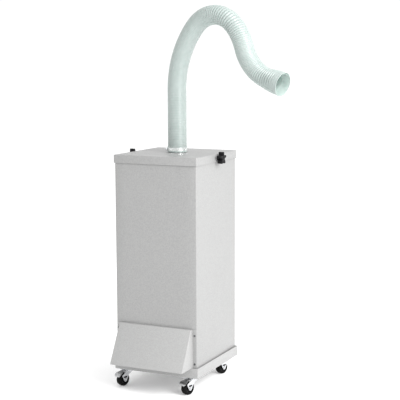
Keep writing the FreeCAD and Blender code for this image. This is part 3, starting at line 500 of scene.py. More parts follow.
def make_piece(name, bm, body, slot, stands_for=(), smooth=35, ride=True, finish=None):
    """Finish a bmesh as a piece: shading, material (by its slot unless a finish is given), the body it rides on,
    and the CAD nodes it stands for, which are hidden.
    """
    limit = math.radians(smooth)
    bm.normal_update()
    for face in bm.faces:
        face.smooth = True
    for edge in bm.edges:
        edge.smooth = len(edge.link_faces) == 2 and edge.calc_face_angle(0) < limit
    mesh = bpy.data.meshes.new(name)
    bm.to_mesh(mesh)
    bm.free()
    mesh.materials.append(finish or slot_materials[slot])
    piece = bpy.data.objects.new(name, mesh)
    bpy.context.scene.collection.objects.link(piece)
    if ride:
        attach(piece, body)
    if stands_for:
        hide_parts(*stands_for)
    print(name, "faces:", len(mesh.polygons))
    return piece


def turned_piece(profile, steps, place, name, *labels, **options):
    """Turn a closed profile, put it in place and make it a piece."""
    bm = bmesh.new()
    turn_profile(bm, profile, steps)
    move(bm, place)
    make_piece(name, bm, *labels, **options)


def thicken(piece, thickness, offset=-1.0):
    """Give a sheet its real thickness."""
    solidify = piece.modifiers.new("sheet_thickness", "SOLIDIFY")
    solidify.thickness = thickness
    solidify.offset = offset
    solidify.use_even_offset = True


def soften(piece, width, segments=2, angle=40):
    """Take the sharpness off every edge of a finished piece."""
    bevel = piece.modifiers.new("broken_edges", "BEVEL")
    bevel.width = width
    bevel.segments = segments
    bevel.limit_method = "ANGLE"
    bevel.angle_limit = math.radians(angle)


# %% [markdown]
# ## The cabinet wrap
# The front and both sides are one sheet, bent at the front corners with a radius of about 2.5 mm,
# with a flange turned in behind each side for the rear panel. It starts as a box without its top,
# bottom and back. The exhaust opening is cut by slicing the front wall along four planes, which
# keeps every face flat.

# %% Cabinet wrap
cabinet_low, cabinet_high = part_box("cabinet_wrap")
SHEET = 1.5 * MM
BEND = 2.5 * MM
REAR_FLANGE = 20 * MM
grille_low, grille_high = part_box("exhaust_grille")
GRILLE_LAP = 12 * MM
bm = bmesh.new()
add_box(bm, cabinet_low, cabinet_high)
for direction in ((0, 0, 1), (0, 0, -1), (0, 1, 0)):
    remove_faces(bm, faces_facing(bm, direction))
rear_edges = [
    edge for edge in bm.edges if all(abs(v.co.y - cabinet_high.y) < TOUCH for v in edge.verts)
]
flanges = bmesh.ops.extrude_edge_only(bm, edges=rear_edges)
for vert in verts_in(flanges["geom"]):
    vert.co.x -= math.copysign(REAR_FLANGE, vert.co.x)
upright = [
    edge
    for edge in bm.edges
    if len(edge.link_faces) == 2 and abs(edge.verts[0].co.z - edge.verts[1].co.z) > 0.1
]
round_edges(bm, upright, BEND, 4)
opening = {
    "x": (grille_low.x + GRILLE_LAP, grille_high.x - GRILLE_LAP),
    "z": (grille_low.z + GRILLE_LAP, grille_high.z - GRILLE_LAP),
}
for axis, normal in (("x", Vector((1, 0, 0))), ("z", Vector((0, 0, 1)))):
    for level in opening[axis]:
        slice_faces(bm, [(0, -1, 0)], normal * level, normal)
hole = [
    face
    for face in faces_facing(bm, (0, -1, 0), FLAT)
    if opening["x"][0] < middle_of(face).x < opening["x"][1]
    and opening["z"][0] < middle_of(face).z < opening["z"][1]
]
remove_faces(bm, hole)
wrap_piece = make_piece("cabinet_sheet", bm, "cabinet", "cabinet_paint", ["cabinet_wrap"])
thicken(wrap_piece, SHEET)

# %% [markdown]
# ## The lid
# The lid is a shallow pan turned upside down. Its corners are welded and ground smooth, so all
# its edges are rounded. The flat top is filled as triangles between its outer loop and the
# collar's hole. A notch in each side lip drops over a knob's stud.

# %% Lid
lid_low, lid_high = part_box("lid")
swivel_place = joints["hose_swivel"]["pos_m"]
hose_foot = Vector((swivel_place[0], swivel_place[1], lid_high.z))
COLLAR_RADIUS = 31.3 * MM
NOTCH_HALF = 5 * MM
knob_level = joints["knob_right_turn"]["pos_m"][2]
SIDEWAYS = ((1, 0, 0), (-1, 0, 0))


def fill_round_hole(bm, face, centre, radius, segments=64):
    """Replace a flat upward face by one with a round hole in it."""
    border = face.edges[:]
    bmesh.ops.delete(bm, geom=[face], context="FACES_ONLY")
    circle = bmesh.ops.create_circle(
        bm, segments=segments, radius=radius, matrix=Matrix.Translation(centre)
    )
    rim = {edge for vert in circle["verts"] for edge in vert.link_edges}
    bmesh.ops.triangle_fill(bm, use_beauty=True, edges=border + list(rim))


bm = bmesh.new()
add_box(bm, lid_low, lid_high)
remove_faces(bm, faces_facing(bm, (0, 0, -1)))
round_edges(bm, sharp_edges(bm), BEND, 4)
top_face = max(faces_facing(bm, (0, 0, 1), FLAT), key=lambda face: face.calc_area())
fill_round_hole(bm, top_face, (hose_foot.x, hose_foot.y, lid_high.z), COLLAR_RADIUS)
for point, normal in (
    ((0, -NOTCH_HALF, 0), (0, 1, 0)),
    ((0, NOTCH_HALF, 0), (0, 1, 0)),
    ((0, 0, knob_level + NOTCH_HALF), (0, 0, 1)),
):
    slice_faces(bm, SIDEWAYS, point, normal)
notches = [
    face
    for direction in SIDEWAYS
    for face in faces_facing(bm, direction, FLAT)
    if abs(middle_of(face).y) < NOTCH_HALF
    and middle_of(face).z < knob_level + NOTCH_HALF
]
remove_faces(bm, notches)
turn_outwards(bm)
lid_piece = make_piece("lid_pan", bm, "lid", "cabinet_paint", ["lid"])
thicken(lid_piece, SHEET)

# %% [markdown]
# ## The caster tray
# The tray is a pan with four turned-up walls, a little wider than the cabinet that stands in it.
# It is an open box with rounded edges, thickened inwards.

# %% Tray
tray_low, tray_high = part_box("base_tray")
bm = bmesh.new()
add_box(bm, tray_low, tray_high)
remove_faces(bm, faces_facing(bm, (0, 0, 1)))
round_edges(bm, sharp_edges(bm), BEND, 4)
turn_outwards(bm)
tray_piece = make_piece(
    "tray_pan", bm, "cabinet", "cabinet_paint", ["base_tray"], finish=painted_light_powder_coat
)
TRAY_SHEET = 2 * MM
thicken(tray_piece, TRAY_SHEET)

# %% [markdown]
# ## The exhaust hood
# The hood is a pocket of bent sheet: a sloping front, two sides and a narrow top shelf, open
# below, with a flange down each side. A box gets its top front edge pulled back to the shelf,
# loses its back and bottom, and the free edges of its sides are folded outwards into the flanges.

# %% Exhaust hood
hood_low, hood_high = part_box("exhaust_hood")
HOOD_FLANGE = 15 * MM
SHELF = 12 * MM
bm = bmesh.new()
hood_back = hood_high.y - SHEET
add_box(
    bm,
    (hood_low.x + HOOD_FLANGE, hood_low.y, hood_low.z),
    (hood_high.x - HOOD_FLANGE, hood_back, hood_high.z),
)
for vert in bm.verts:
    if vert.co.z > hood_high.z - TOUCH and vert.co.y < hood_back - TOUCH:
        vert.co.y = hood_high.y - SHELF
remove_faces(bm, faces_facing(bm, (0, 1, 0)))
remove_faces(bm, faces_facing(bm, (0, 0, -1)))
side_rear = [
    edge
    for edge in bm.edges
    if all(abs(vert.co.y - hood_back) < TOUCH for vert in edge.verts)
    and abs(edge.verts[0].co.z - edge.verts[1].co.z) > 0.01
]
folded = bmesh.ops.extrude_edge_only(bm, edges=side_rear)
for vert in verts_in(folded["geom"]):
    vert.co.x += math.copysign(HOOD_FLANGE, vert.co.x)
round_edges(bm, sharp_edges(bm), 2 * MM, 4)
turn_outwards(bm)
# The hood wears the paler coat: painted light for its upward-tilted face.
hood_piece = make_piece(
    "hood_sheet", bm, "cabinet", "cabinet_paint", ["exhaust_hood"], finish=painted_light_powder_coat
)
thicken(hood_piece, SHEET)

# %% [markdown]
# ## The hose
# The hose is a thin-walled corrugated tube. Its centre line is a straight riser and four arcs, the
# same runs that the design uses. A ring of vertices is extruded step by step along that line, and
# each ring's radius follows the ribs, so the corrugation bends with the hose. Three lengths are
# stiff and ride on one body each; the two between them, across the bending joints, ride on no body.

# %% Hose centre line
HOSE_HEADING = math.radians(-14)
hose_across = Vector((math.cos(HOSE_HEADING), math.sin(HOSE_HEADING), 0))
hose_up = Vector((0, 0, 1))
HOSE_ARCS = ((43, 338), (96, 121), (24, 214), (57, -162.1))
HOSE_RUNS = [
    (234 * MM, None),
    *((math.radians(turn) * abs(radius) * MM, radius * MM) for turn, radius in HOSE_ARCS),
    (58.6 * MM, None),
]
hose_length = sum(length for length, radius in HOSE_RUNS)


def hose_point(distance):
    """The centre line's point and direction at a distance from the lid."""
    across, rise, lean, left = 0.0, 0.0, 0.0, distance
    for length, radius in HOSE_RUNS:
        step = min(left, length)
        if radius is None:
            across += step * math.sin(lean)
            rise += step * math.cos(lean)
        else:
            turned = lean + step / radius
            across += radius * (math.cos(lean) - math.cos(turned))
            rise += radius * (math.sin(turned) - math.sin(lean))
            lean = turned
        left -= step
        if left <= 1e-9:
            break
    point = hose_foot + hose_across * across + hose_up * rise
    return point, hose_across * math.sin(lean) + hose_up * math.cos(lean)


def hose_frame(distance):
    """A matrix that stands local Z along the hose at a distance, without any twist."""
    point, direction = hose_point(distance)
    side = hose_across.cross(hose_up).normalized()
    other = direction.cross(side).normalized()
    matrix = Matrix((side, other, direction)).transposed().to_4x4()
    return Matrix.Translation(point) @ matrix


# %% Rib spacing
HOSE_RADIUS = 35.4 * MM
HOSE_SEGMENTS = 64
RINGS_PER_RIB = 8
CUFF_TALL = 24 * MM
MOUTH_CUFF = 58 * MM
MOUTH_RADIUS = 42 * MM
FLARE_LONG = 90 * MM
FLARE_END = 20 * MM


def smooth_step(share):
    """A soft change from 0 to 1."""
    share = min(1.0, max(0.0, share))
    return share * share * (3 - 2 * share)


def pulled_out(distance):
    """How far the hose is stretched: only just past the crown and in the arm."""
    crown = math.exp(-(((distance - 0.655) / 0.080) ** 2))
    arm = math.exp(-(((distance - 0.938) / 0.062) ** 2))
    return crown, arm


def rib_pitch(distance):
    """The ribs stand wider apart where the hose is pulled out."""
    crown, arm = pulled_out(distance)
    return (6.0 + 4.2 * crown + 4.6 * arm) * MM


def rib_depth(distance):
    """Closed ribs leave shallow grooves, and stretched ones open up."""
    crown, arm = pulled_out(distance)
    return (0.6 + 2.7 * crown + 4.2 * arm) * MM


STEP = 0.5 * MM
phase_table = [0.0]
while len(phase_table) * STEP < hose_length + 0.01:
    phase_table.append(phase_table[-1] + STEP / rib_pitch(len(phase_table) * STEP))


def rib_phase(distance):
    """How many ribs lie between the lid and a distance along the hose."""
    place = min(distance / STEP, len(phase_table) - 1.001)
    whole = int(place)
    return phase_table[whole] + (place - whole) * (phase_table[whole + 1] - phase_table[whole])


def crest_radius(distance):
    """The outside radius over the ribs, which grows into the flare at the mouth."""
    reach = (distance - (hose_length - FLARE_LONG)) / (FLARE_LONG - FLARE_END)
    return HOSE_RADIUS + (MOUTH_RADIUS - HOSE_RADIUS) * smooth_step(reach)


def rib_radius(distance, share=1.0):
    """The radius at a distance: rounded crests with a narrower groove between them."""
    wave = 0.5 - 0.5 * math.cos(2 * math.pi * rib_phase(distance))
    depth = rib_depth(distance) * share
    return crest_radius(distance) - depth * (1 - wave ** 0.7)


def ring_distances(start, end):
    """Ring places between two distances, a fixed number of them to each rib."""
    places, distance = [start], start
    while distance < end:
        distance += rib_pitch(distance) / RINGS_PER_RIB
        places.append(distance)
    places = [place for place in places if place < end - 0.3 * MM]
    return places + [end]


print("ribs in all:", round(rib_phase(hose_length)))

# %% Sweep a ring along the hose


def sweep_rings(bm, distances, radius_at):
    """Extrude a circle ring by ring along the hose."""
    ring = bmesh.ops.create_circle(bm, segments=HOSE_SEGMENTS, radius=1)["verts"]
    loop = list({edge for vert in ring for edge in vert.link_edges})
    radius = radius_at(distances[0])
    matrix = hose_frame(distances[0]) @ Matrix.Diagonal((radius, radius, 1, 1))
    move(bm, matrix, ring)
    for distance in distances[1:]:
        extruded = bmesh.ops.extrude_edge_only(bm, edges=loop)["geom"]
        ring = verts_in(extruded)
        ends = set(ring)
        loop = [
            item
            for item in extruded
            if isinstance(item, bmesh.types.BMEdge) and all(v in ends for v in item.verts)
        ]
        radius = radius_at(distance)
        following = hose_frame(distance) @ Matrix.Diagonal((radius, radius, 1, 1))
        move(bm, following @ matrix.inverted(), ring)
        matrix = following


# %% Hose lengths
LOWER_BEND = 250 * MM
UPPER_BEND = 776 * MM
BEND_HALF = 30 * MM
WALL = 1.3 * MM
ribbed_end = hose_length - MOUTH_CUFF
lower_bend = (LOWER_BEND - BEND_HALF, LOWER_BEND + BEND_HALF)
upper_bend = (UPPER_BEND - BEND_HALF, UPPER_BEND + BEND_HALF)
arch_nodes = ["hose_arch_rise", "hose_arch_crown", "hose_arch_fall"]
hose_lengths = [
    ("riser", CUFF_TALL, lower_bend[0], ["hose_base"], ["hose_riser"]),
    ("lower_bend", *lower_bend, ["hose_base", "hose_crown"], ["hose_bend_lower"]),
    ("arch", lower_bend[1], upper_bend[0], ["hose_crown"], arch_nodes),
    ("upper_bend", *upper_bend, ["hose_crown", "hose_end"], ["hose_bend_upper"]),
    ("tail", upper_bend[1], ribbed_end, ["hose_end"], ["hose_tail"]),
]
for word, start, end, bodies, nodes in hose_lengths:
    bm = bmesh.new()
    sweep_rings(bm, ring_distances(start, end), rib_radius)
    turn_outwards(bm)
    piece = make_piece(
        f"hose_{word}_ribs", bm, bodies[0], "hose_plastic", nodes, 80, ride=len(bodies) == 1
    )
    thicken(piece, WALL)
    if len(bodies) == 2:
        hose_point(start)[0]
        hose_point(end)[0]
        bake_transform(piece)

# %% [markdown]
# ### The mouth
# The last length is straight, so it is a profile turned once round. Its ribs are as deep as the
# wall allows outside the bore, and they fade out towards a smooth lip with a thin bead. A lining
# in a paler copy of the hose plastic covers the bore: painted light, for the daylight that comes
# through the thin wall.

# %% Mouth
SMOOTH_LONG = 8 * MM
LINING = 0.6 * MM
tip = MOUTH_CUFF
bore = [
    (40.6 * MM, tip - 0.2 * MM),
    (40.0 * MM, tip - 1.0 * MM),
    (40.0 * MM, tip - 22 * MM),
    (36.5 * MM, tip - 27 * MM),
    (35.0 * MM, tip - 36 * MM),
    (33.2 * MM, tip - 48 * MM),
    (32.2 * MM, 0.2 * MM),
]


def bore_radius(height):
    """The bore's radius at a height above the start of the mouth."""
    for (high_radius, high), (low_radius, low) in zip(bore, bore[1:]):
        if low <= height <= high:
            return low_radius + (high_radius - low_radius) * (height - low) / (high - low)
    return bore[-1][0]


def mouth_radius(distance):
    """The outside radius of the ribbed part: the grooves stop short of the lining."""
    crest = crest_radius(distance)
    room = crest - bore_radius(distance - ribbed_end) - LINING - 0.3 * MM
    depth = crest - rib_radius(distance)
    deepest = rib_depth(distance)
    return crest - depth * min(1.0, room / deepest)


outside = []
distance = ribbed_end
while distance < hose_length - SMOOTH_LONG:
    outside.append((mouth_radius(distance), distance - ribbed_end))
    distance += rib_pitch(distance) / RINGS_PER_RIB
LIP = ((-1, 8.6), (-1, 4), (0.1, 3.2), (0.5, 2.2), (0.5, 1.2), (0.1, 0.3), (-0.5, 0))
outside += [(MOUTH_RADIUS + out * MM, tip - down * MM) for out, down in LIP]
wall = [(41.3 * MM, tip)] + [(radius + LINING, along_bore) for radius, along_bore in bore[1:]]
turned_piece(
    outside + wall, HOSE_SEGMENTS, hose_frame(ribbed_end),
    "hose_mouth_bell", "hose_end", "hose_plastic", ["hose_mouth"], 50,
)
# The lining carries the paler bore colour: painted light for the daylight through the thin wall.
back = [(radius + LINING - 0.1 * MM, along_bore) for radius, along_bore in reversed(bore)]
turned_piece(
    back + bore, HOSE_SEGMENTS, hose_frame(ribbed_end),
    "hose_mouth_bore_painted_light", "hose_end", "hose_plastic", (), 50, finish=hose_bore_painted_light,
)

# %% [markdown]
# ### The cuff and its clamp
# The hose's foot is a plain cuff pushed over the collar, with a rolled edge at the bottom. A
# worm-drive clamp grips it. Its band is a turned ring, and the slots that the worm bites into are
# made by insetting each of the ring's outer faces and pushing the middle in.

# %% Cuff
cuff_low, cuff_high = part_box("hose_cuff")
cuff_outer = (cuff_high.x - cuff_low.x) / 2
cuff_tall = cuff_high.z - cuff_low.z
turned_piece([
    (cuff_outer - 4.2 * MM, 0.0),
    (cuff_outer - 0.6 * MM, 0.0),
    (cuff_outer + 0.9 * MM, 0.8 * MM),
    (cuff_outer + 1.2 * MM, 2.2 * MM),
    (cuff_outer + 0.9 * MM, 3.6 * MM),
    (cuff_outer, 4.6 * MM),
    (cuff_outer, cuff_tall - 3.6 * MM),
    (cuff_outer + 0.5 * MM, cuff_tall - 2.6 * MM),
    (cuff_outer + 0.5 * MM, cuff_tall - 1.4 * MM),
    (cuff_outer - 0.6 * MM, cuff_tall - 0.4 * MM),
    (cuff_outer - 2.4 * MM, cuff_tall),
    (cuff_outer - 4.2 * MM, cuff_tall),
], HOSE_SEGMENTS, shift(hose_foot.x, hose_foot.y, cuff_low.z),
    "hose_cuff_sleeve", "hose_base", "hose_plastic", ["hose_cuff"], 50)

# %% Clamp band
CLAMP_LOW = hose_foot.z + 7 * MM
CLAMP_WIDE = 12 * MM
CLAMP_INNER = 36.0 * MM
CLAMP_TURN = math.radians(25)
CLAMP_OUTER = CLAMP_INNER + 0.75 * MM
CLAMP_EDGE = 2.6 * MM
bm = bmesh.new()
turn_profile(bm, [
    (CLAMP_INNER + 0.02 * MM, 0.0),
    (CLAMP_OUTER, 0.0),
    (CLAMP_OUTER, CLAMP_EDGE),
    (CLAMP_OUTER, CLAMP_WIDE - CLAMP_EDGE),
    (CLAMP_OUTER, CLAMP_WIDE),
    (CLAMP_INNER + 0.02 * MM, CLAMP_WIDE),
], 96)
bm.normal_update()
slots = [
    face
    for face in bm.faces
    if CLAMP_EDGE < middle_of(face).z < CLAMP_WIDE - CLAMP_EDGE
    and middle_of(face).to_2d().length > CLAMP_INNER + 0.5 * MM
]
bmesh.ops.inset_individual(bm, faces=slots, thickness=0.45 * MM, depth=-0.4 * MM)
move(bm, shift(hose_foot.x, hose_foot.y, CLAMP_LOW))
make_piece("clamp_band_ring", bm, "hose_base", "clamp_steel", ["hose_clamp_band"])

# %% Clamp housing and screw
housing_place = shift(hose_foot.x, hose_foot.y, CLAMP_LOW) @ Matrix.Rotation(CLAMP_TURN, 4, "Z")
bm = bmesh.new()
add_box(
    bm,
    (-CLAMP_INNER - 8.2 * MM, -8 * MM, 0.5 * MM),
    (-CLAMP_INNER - 0.4 * MM, 8 * MM, CLAMP_WIDE - 0.5 * MM),
)
round_edges(bm, sharp_edges(bm), 1.6 * MM, 4)
move(bm, housing_place)
make_piece("clamp_housing", bm, "hose_base", "clamp_steel")
bm = bmesh.new()
add_rod(bm, 4.4 * MM, 5 * MM, 6)
round_edges(bm, sharp_edges(bm), 0.5 * MM, 2)
top = max(bm.faces, key=lambda face: middle_of(face).z * 1e3 + face.calc_area())
bmesh.ops.inset_region(bm, faces=[top], thickness=1.2 * MM, depth=0)
bmesh.ops.inset_region(bm, faces=[top], thickness=0.1 * MM, depth=-1.0 * MM)
add_rod(bm, 3.1 * MM, 22 * MM, 24, shift(0, 0, -12 * MM))
bm.normal_update()
screw_direction = Matrix.Rotation(CLAMP_TURN, 3, "Z") @ Vector((0, -1, 0))
screw_place = housing_place @ Vector((-CLAMP_INNER - 4.6 * MM, -11.5 * MM, CLAMP_WIDE / 2))
move(bm, along(screw_direction, screw_place))
make_piece("clamp_screw_hex", bm, "hose_base", "zinc", ["hose_clamp_screw"])

# %% [markdown]
# ## The star knobs
# Each knob is a moulding with five lobes. Its outline is a circle whose points are pulled in
# between the lobes; it is filled, extruded to the knob's depth and rounded over, and its outer
# face is dished. The boss behind it and the steel stud are turned parts.

# %% Star knob
LOBES = 5
KNOB_REACH = 23 * MM
KNOB_WAIST = 10.5 * MM


def star_radius(angle):
    """The outline's radius: blunt lobes with deep gaps, and one lobe upwards."""
    wave = 0.5 + 0.5 * math.cos(LOBES * (angle - math.pi / 2))
    return KNOB_WAIST + (KNOB_REACH - KNOB_WAIST) * min(1.0, 1.12 * wave ** 1.25)


def star_knob(side_name, side):
    """A grip with five lobes, its boss and its stud, on one side of the cabinet."""
    low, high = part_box(f"star_knob_{side_name}")
    level = joints[f"knob_{side_name}_turn"]["pos_m"][2]
    face = high.x if side > 0 else -low.x
    depth = 20 * MM
    back = face - depth
    bm = bmesh.new()
    circle = bmesh.ops.create_circle(bm, segments=120, radius=1, cap_ends=True)["verts"]
    for vert in circle:
        radius = star_radius(math.atan2(vert.co.y, vert.co.x))
        vert.co.x *= radius
        vert.co.y *= radius
    star = bm.faces[:]
    body = bmesh.ops.extrude_face_region(bm, geom=star)["geom"]
    move(bm, shift(0, 0, depth), verts_in(body))
    turn_outwards(bm)
    rims = [e for e in bm.edges if abs(e.verts[0].co.z - e.verts[1].co.z) < 1e-7]
    round_edges(bm, rims, 1.6 * MM, 3)
    outer = max(faces_facing(bm, (0, 0, 1), FLAT), key=lambda item: item.calc_area())
    bmesh.ops.inset_region(bm, faces=[outer], thickness=1.2 * MM, depth=0)
    bmesh.ops.inset_region(bm, faces=[outer], thickness=0.8 * MM, depth=-0.9 * MM)
    move(bm, shift(0, 0, back))
    turn_profile_at(bm, back, [(0, -4.9), (8.4, -4.9), (9, -4.3), (9.6, 1), (0, 1)])
    turn_profile_at(bm, face, [(0, -1.5), (6.4, -1.5), (6.4, -0.3), (5.8, 0), (0, 0)])
    upright = shift(0, 0, level) @ knob_axis(side)
    move(bm, upright)
    make_piece(
        f"star_grip_{side_name}", bm, f"knob_{side_name}", "black_plastic",
        [f"star_knob_{side_name}"], 40,
    )
    bm = bmesh.new()
    turn_profile_at(bm, back, [(0, -23), (3.2, -23), (3.95, -22.1), (3.95, 0), (0, 0)])
    move(bm, upright)
    make_piece(f"knob_stud_{side_name}", bm, f"knob_{side_name}", "zinc", (), 40)


def knob_axis(side):
    """Turns local Z to point outwards, and keeps local Y upright."""
    outwards = Vector((side, 0, 0))
    upwards = Vector((0, 0, 1))
    return Matrix((upwards.cross(outwards), upwards, outwards)).transposed().to_4x4()


def turn_profile_at(bm, level, profile):
    """Add a turned part to a bmesh: its profile is in millimetres, up from a level."""
    part = bmesh.new()
    turn_profile(part, in_mm(profile), 32, closed=False)
    move(part, shift(0, 0, level))
    add_part(bm, part)


for side_name, side in (("left", -1), ("right", 1)):
    star_knob(side_name, side)

# %% [markdown]
# ## The panel screws
# Round-head screws with a cross recess hold the hood and the rear panel. One screw is modelled and
# copied to each place, which comes from those two parts' own boxes.

# %% Panel screws
SCREW = in_mm([
    (0, -6), (1.9, -6), (1.9, 0), (3.8, 0), (3.8, 0.5), (3.344, 1.3), (2.28, 2), (1.14, 2.25),
    (0, 2.3),
])
RECESS_HALF = 0.76 * MM
rear_low, rear_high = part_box("rear_panel")
front_face = hood_high.y - SHEET
screw_places = [
    (Vector((side * (hood_high.x - 6 * MM), front_face, level)), Vector((0, -1, 0)))
    for side in (-1, 1)
    for level in (hood_low.z + 14 * MM, hood_high.z - 22 * MM)
]
rear_span = rear_high.z - rear_low.z - 90 * MM
rear_levels = [rear_low.z + 25 * MM + step * rear_span / 3 for step in range(4)]
screw_places += [
    (Vector((side * (cabinet_high.x - 10 * MM), rear_high.y, level)), Vector((0, 1, 0)))
    for side in (-1, 1)
    for level in rear_levels
]


def add_screw(bm, place, direction):
    """A round-head screw; its cross recess is a band of the dome's faces, pushed in."""
    part = bmesh.new()
    turn_profile(part, SCREW, 24, closed=False)
    recess = [
        face
        for face in part.faces
        if middle_of(face).z > 1.3 * MM
        and min(abs(side) for side in middle_of(face).to_2d()) < RECESS_HALF
    ]
    bmesh.ops.inset_region(part, faces=recess, thickness=0.08 * MM, depth=0)
    inner = {vert for face in recess for vert in face.verts}
    for vert in inner:
        vert.co.z -= 0.9 * MM
    move(part, along(direction, place))
    add_part(bm, part)


bm = bmesh.new()
for place, direction in screw_places:
    add_screw(bm, place, direction)
# The screws wear the darkened steel: painted shade of their recesses.
make_piece("panel_screw_set", bm, "cabinet", "zinc", ["panel_screws"], 40, finish=screw_steel_painted_shade)

# %% [markdown]
# ## The casters
# Four swivel casters stand the cabinet on the floor. Each is made once about its own swivel axis,
# with the wheel trailing along minus Y, and is then turned to the heading of the joint that it
# rolls on. The fork's cheeks are V-shaped plates with a window; the tyre, hub and axle are turned
# parts.

# %% Caster shapes
CASTERS = ("front_left", "front_right", "rear_left", "rear_right")
TRAIL = 24 * MM
WHEEL_RADIUS = 25 * MM
WHEEL_HALF = 11 * MM
HUB_RADIUS = 16.5 * MM
CHEEK_IN = WHEEL_HALF + 2.2 * MM
CHEEK_THICK = 2 * MM


def caster_place(word):
    """Stand a caster at its swivel joint, turned to its rolling axis."""
    swivel = joints[f"swivel_{word}"]["pos_m"]
    axis = joints[f"roll_{word}"]["axis"]
    turn = math.atan2(axis[1], axis[0])
    return shift(swivel[0], swivel[1], 0) @ Matrix.Rotation(turn, 4, "Z")


def side_plate(bm, outline, window, inner, thickness):
    """A flat plate across X, drawn in the wheel's side view, with a window in it."""
    loops = []
    for loop in (outline, window):
        verts = [bm.verts.new((inner, back, up)) for back, up in loop]
        loops += [bm.edges.new(pair) for pair in zip(verts, verts[1:] + verts[:1])]
    filled = bmesh.ops.triangle_fill(bm, use_beauty=True, edges=loops)["geom"]
    faces = [item for item in filled if isinstance(item, bmesh.types.BMFace)]
    raised = bmesh.ops.extrude_face_region(bm, geom=faces)["geom"]
    move(bm, shift(thickness, 0, 0), verts_in(raised))


def round_outline(points, radius, steps=4):
    """Round the corners of an outline by cutting each one with a short arc."""
    rounded = []
    for before, corner, after in zip(points[-1:] + points[:-1], points, points[1:] + points[:1]):
        corner = Vector(corner)
        inward, outward = Vector(before) - corner, Vector(after) - corner
        cut = min(radius, inward.length * 0.45, outward.length * 0.45)
        start, end = corner + inward.normalized() * cut, corner + outward.normalized() * cut
        for step in range(steps + 1):
            t = step / steps
            rounded.append(tuple((1 - t) ** 2 * start + 2 * t * (1 - t) * corner + t ** 2 * end))
    return rounded


# %% Forks
CHEEK = [
    (-14, 57.7), (-41, 42), (-29, 19), (-24, 16.5), (-19, 19), (-7, 42), (12, 52.2), (12, 57.7),
]
WINDOW = [(-34, 38), (-30, 31.5), (-18, 31.5), (-14, 38)]
cheek_outline = round_outline(in_mm(CHEEK), 3.2 * MM)
cheek_window = round_outline(in_mm(WINDOW), 1.6 * MM)
for word in CASTERS:
    bm = bmesh.new()
    turn_profile(bm, in_mm([
        (5.3, 57.2), (18.2, 55.6), (19, 55.6), (19, 57.8), (18, 58.9), (16.5, 59.2), (5.3, 59.2),
    ]), 48)
    for inner in (CHEEK_IN, -CHEEK_IN - CHEEK_THICK):
        side_plate(bm, cheek_outline, cheek_window, inner, CHEEK_THICK)
    turn_outwards(bm)
    move(bm, caster_place(word))
    fork = make_piece(f"fork_plate_{word}", bm, f"caster_{word}", "zinc", [f"fork_{word}"], 35)
    soften(fork, 0.35 * MM)

# %% Tyres, hubs and axles
TYRE = mirrored([
    (HUB_RADIUS, -WHEEL_HALF + 0.6 * MM),
    (WHEEL_RADIUS - 5 * MM, -WHEEL_HALF),
    (WHEEL_RADIUS - 2.6 * MM, -WHEEL_HALF + 0.5 * MM),
    (WHEEL_RADIUS - 1.0 * MM, -WHEEL_HALF + 2.2 * MM),
    (WHEEL_RADIUS - 0.25 * MM, -WHEEL_HALF + 4.6 * MM),
    (WHEEL_RADIUS, -2.0 * MM),
])
HUB = mirrored(in_mm([
    (3.1, -12.4), (6, -12.4), (6.5, -11.9), (6.5, -5), (12.5, -5), (14, -9), (16.5, -9.2),
]))
wheel_place = shift(0, -TRAIL, WHEEL_RADIUS) @ Matrix.Rotation(math.pi / 2, 4, "Y")
for word in CASTERS:
    for name, profile, slot in (("tyre", TYRE, "wheel_rubber"), ("hub", HUB, "wheel_hub")):
        turned_piece(
            profile, 64, caster_place(word) @ wheel_place,
            f"{name}_ring_{word}", f"wheel_{word}", slot, [f"{name}_{word}"], 40,
        )
    bm = bmesh.new()
    half = CHEEK_IN + CHEEK_THICK
    add_rod(bm, 2.9 * MM, 2 * half + 5 * MM, 32)
    head = shift(0, 0, half + 1.5 * MM)
    add_rod(bm, 5.0 * MM, 2.9 * MM, 6, head, 4.2 * MM)
    add_rod(bm, 4.2 * MM, 2.9 * MM, 32, head.inverted(), 5.0 * MM)
    move(bm, caster_place(word) @ wheel_place)
    axle = make_piece(f"axle_bolt_{word}", bm, f"caster_{word}", "zinc", [f"axle_{word}"], 35)
    soften(axle, 0.3 * MM)

# %% [markdown]
# ### Foot brakes
# The front casters have a pressed steel pedal that curves over the tyre. It starts as a flat grid
# whose points are laid round the wheel: narrow near its pivot, wide and domed at the toe, with the
# toe turned down. The sheet then gets its thickness.

# %% Brake pedals
PEDAL_START, PEDAL_END = 80, 156
PIVOT_REACH = 30 * MM


def pedal_width(angle):
    """Half the pedal's width: a strip that spreads into a rounded toe."""
    width = 10 + 6 * smooth_step((angle - 108) / 16)
    toe = max(0.0, (angle - 144) / 12.5)
    return width * math.sqrt(max(0.05, 1 - 0.75 * toe * toe)) * MM


def pedal_height(angle, across):
    """The pedal's distance from the axle: domed at the toe, with lower edges."""
    dome = min(1.0, max(0.0, (angle - 116) / 18))
    fall = max(0.0, (angle - 143) / 13)
    edge = abs(across) ** 4
    return (31.0 + 4.4 * dome * (1 - 0.85 * fall * fall) - 2.6 * edge * dome * (1 - fall)) * MM


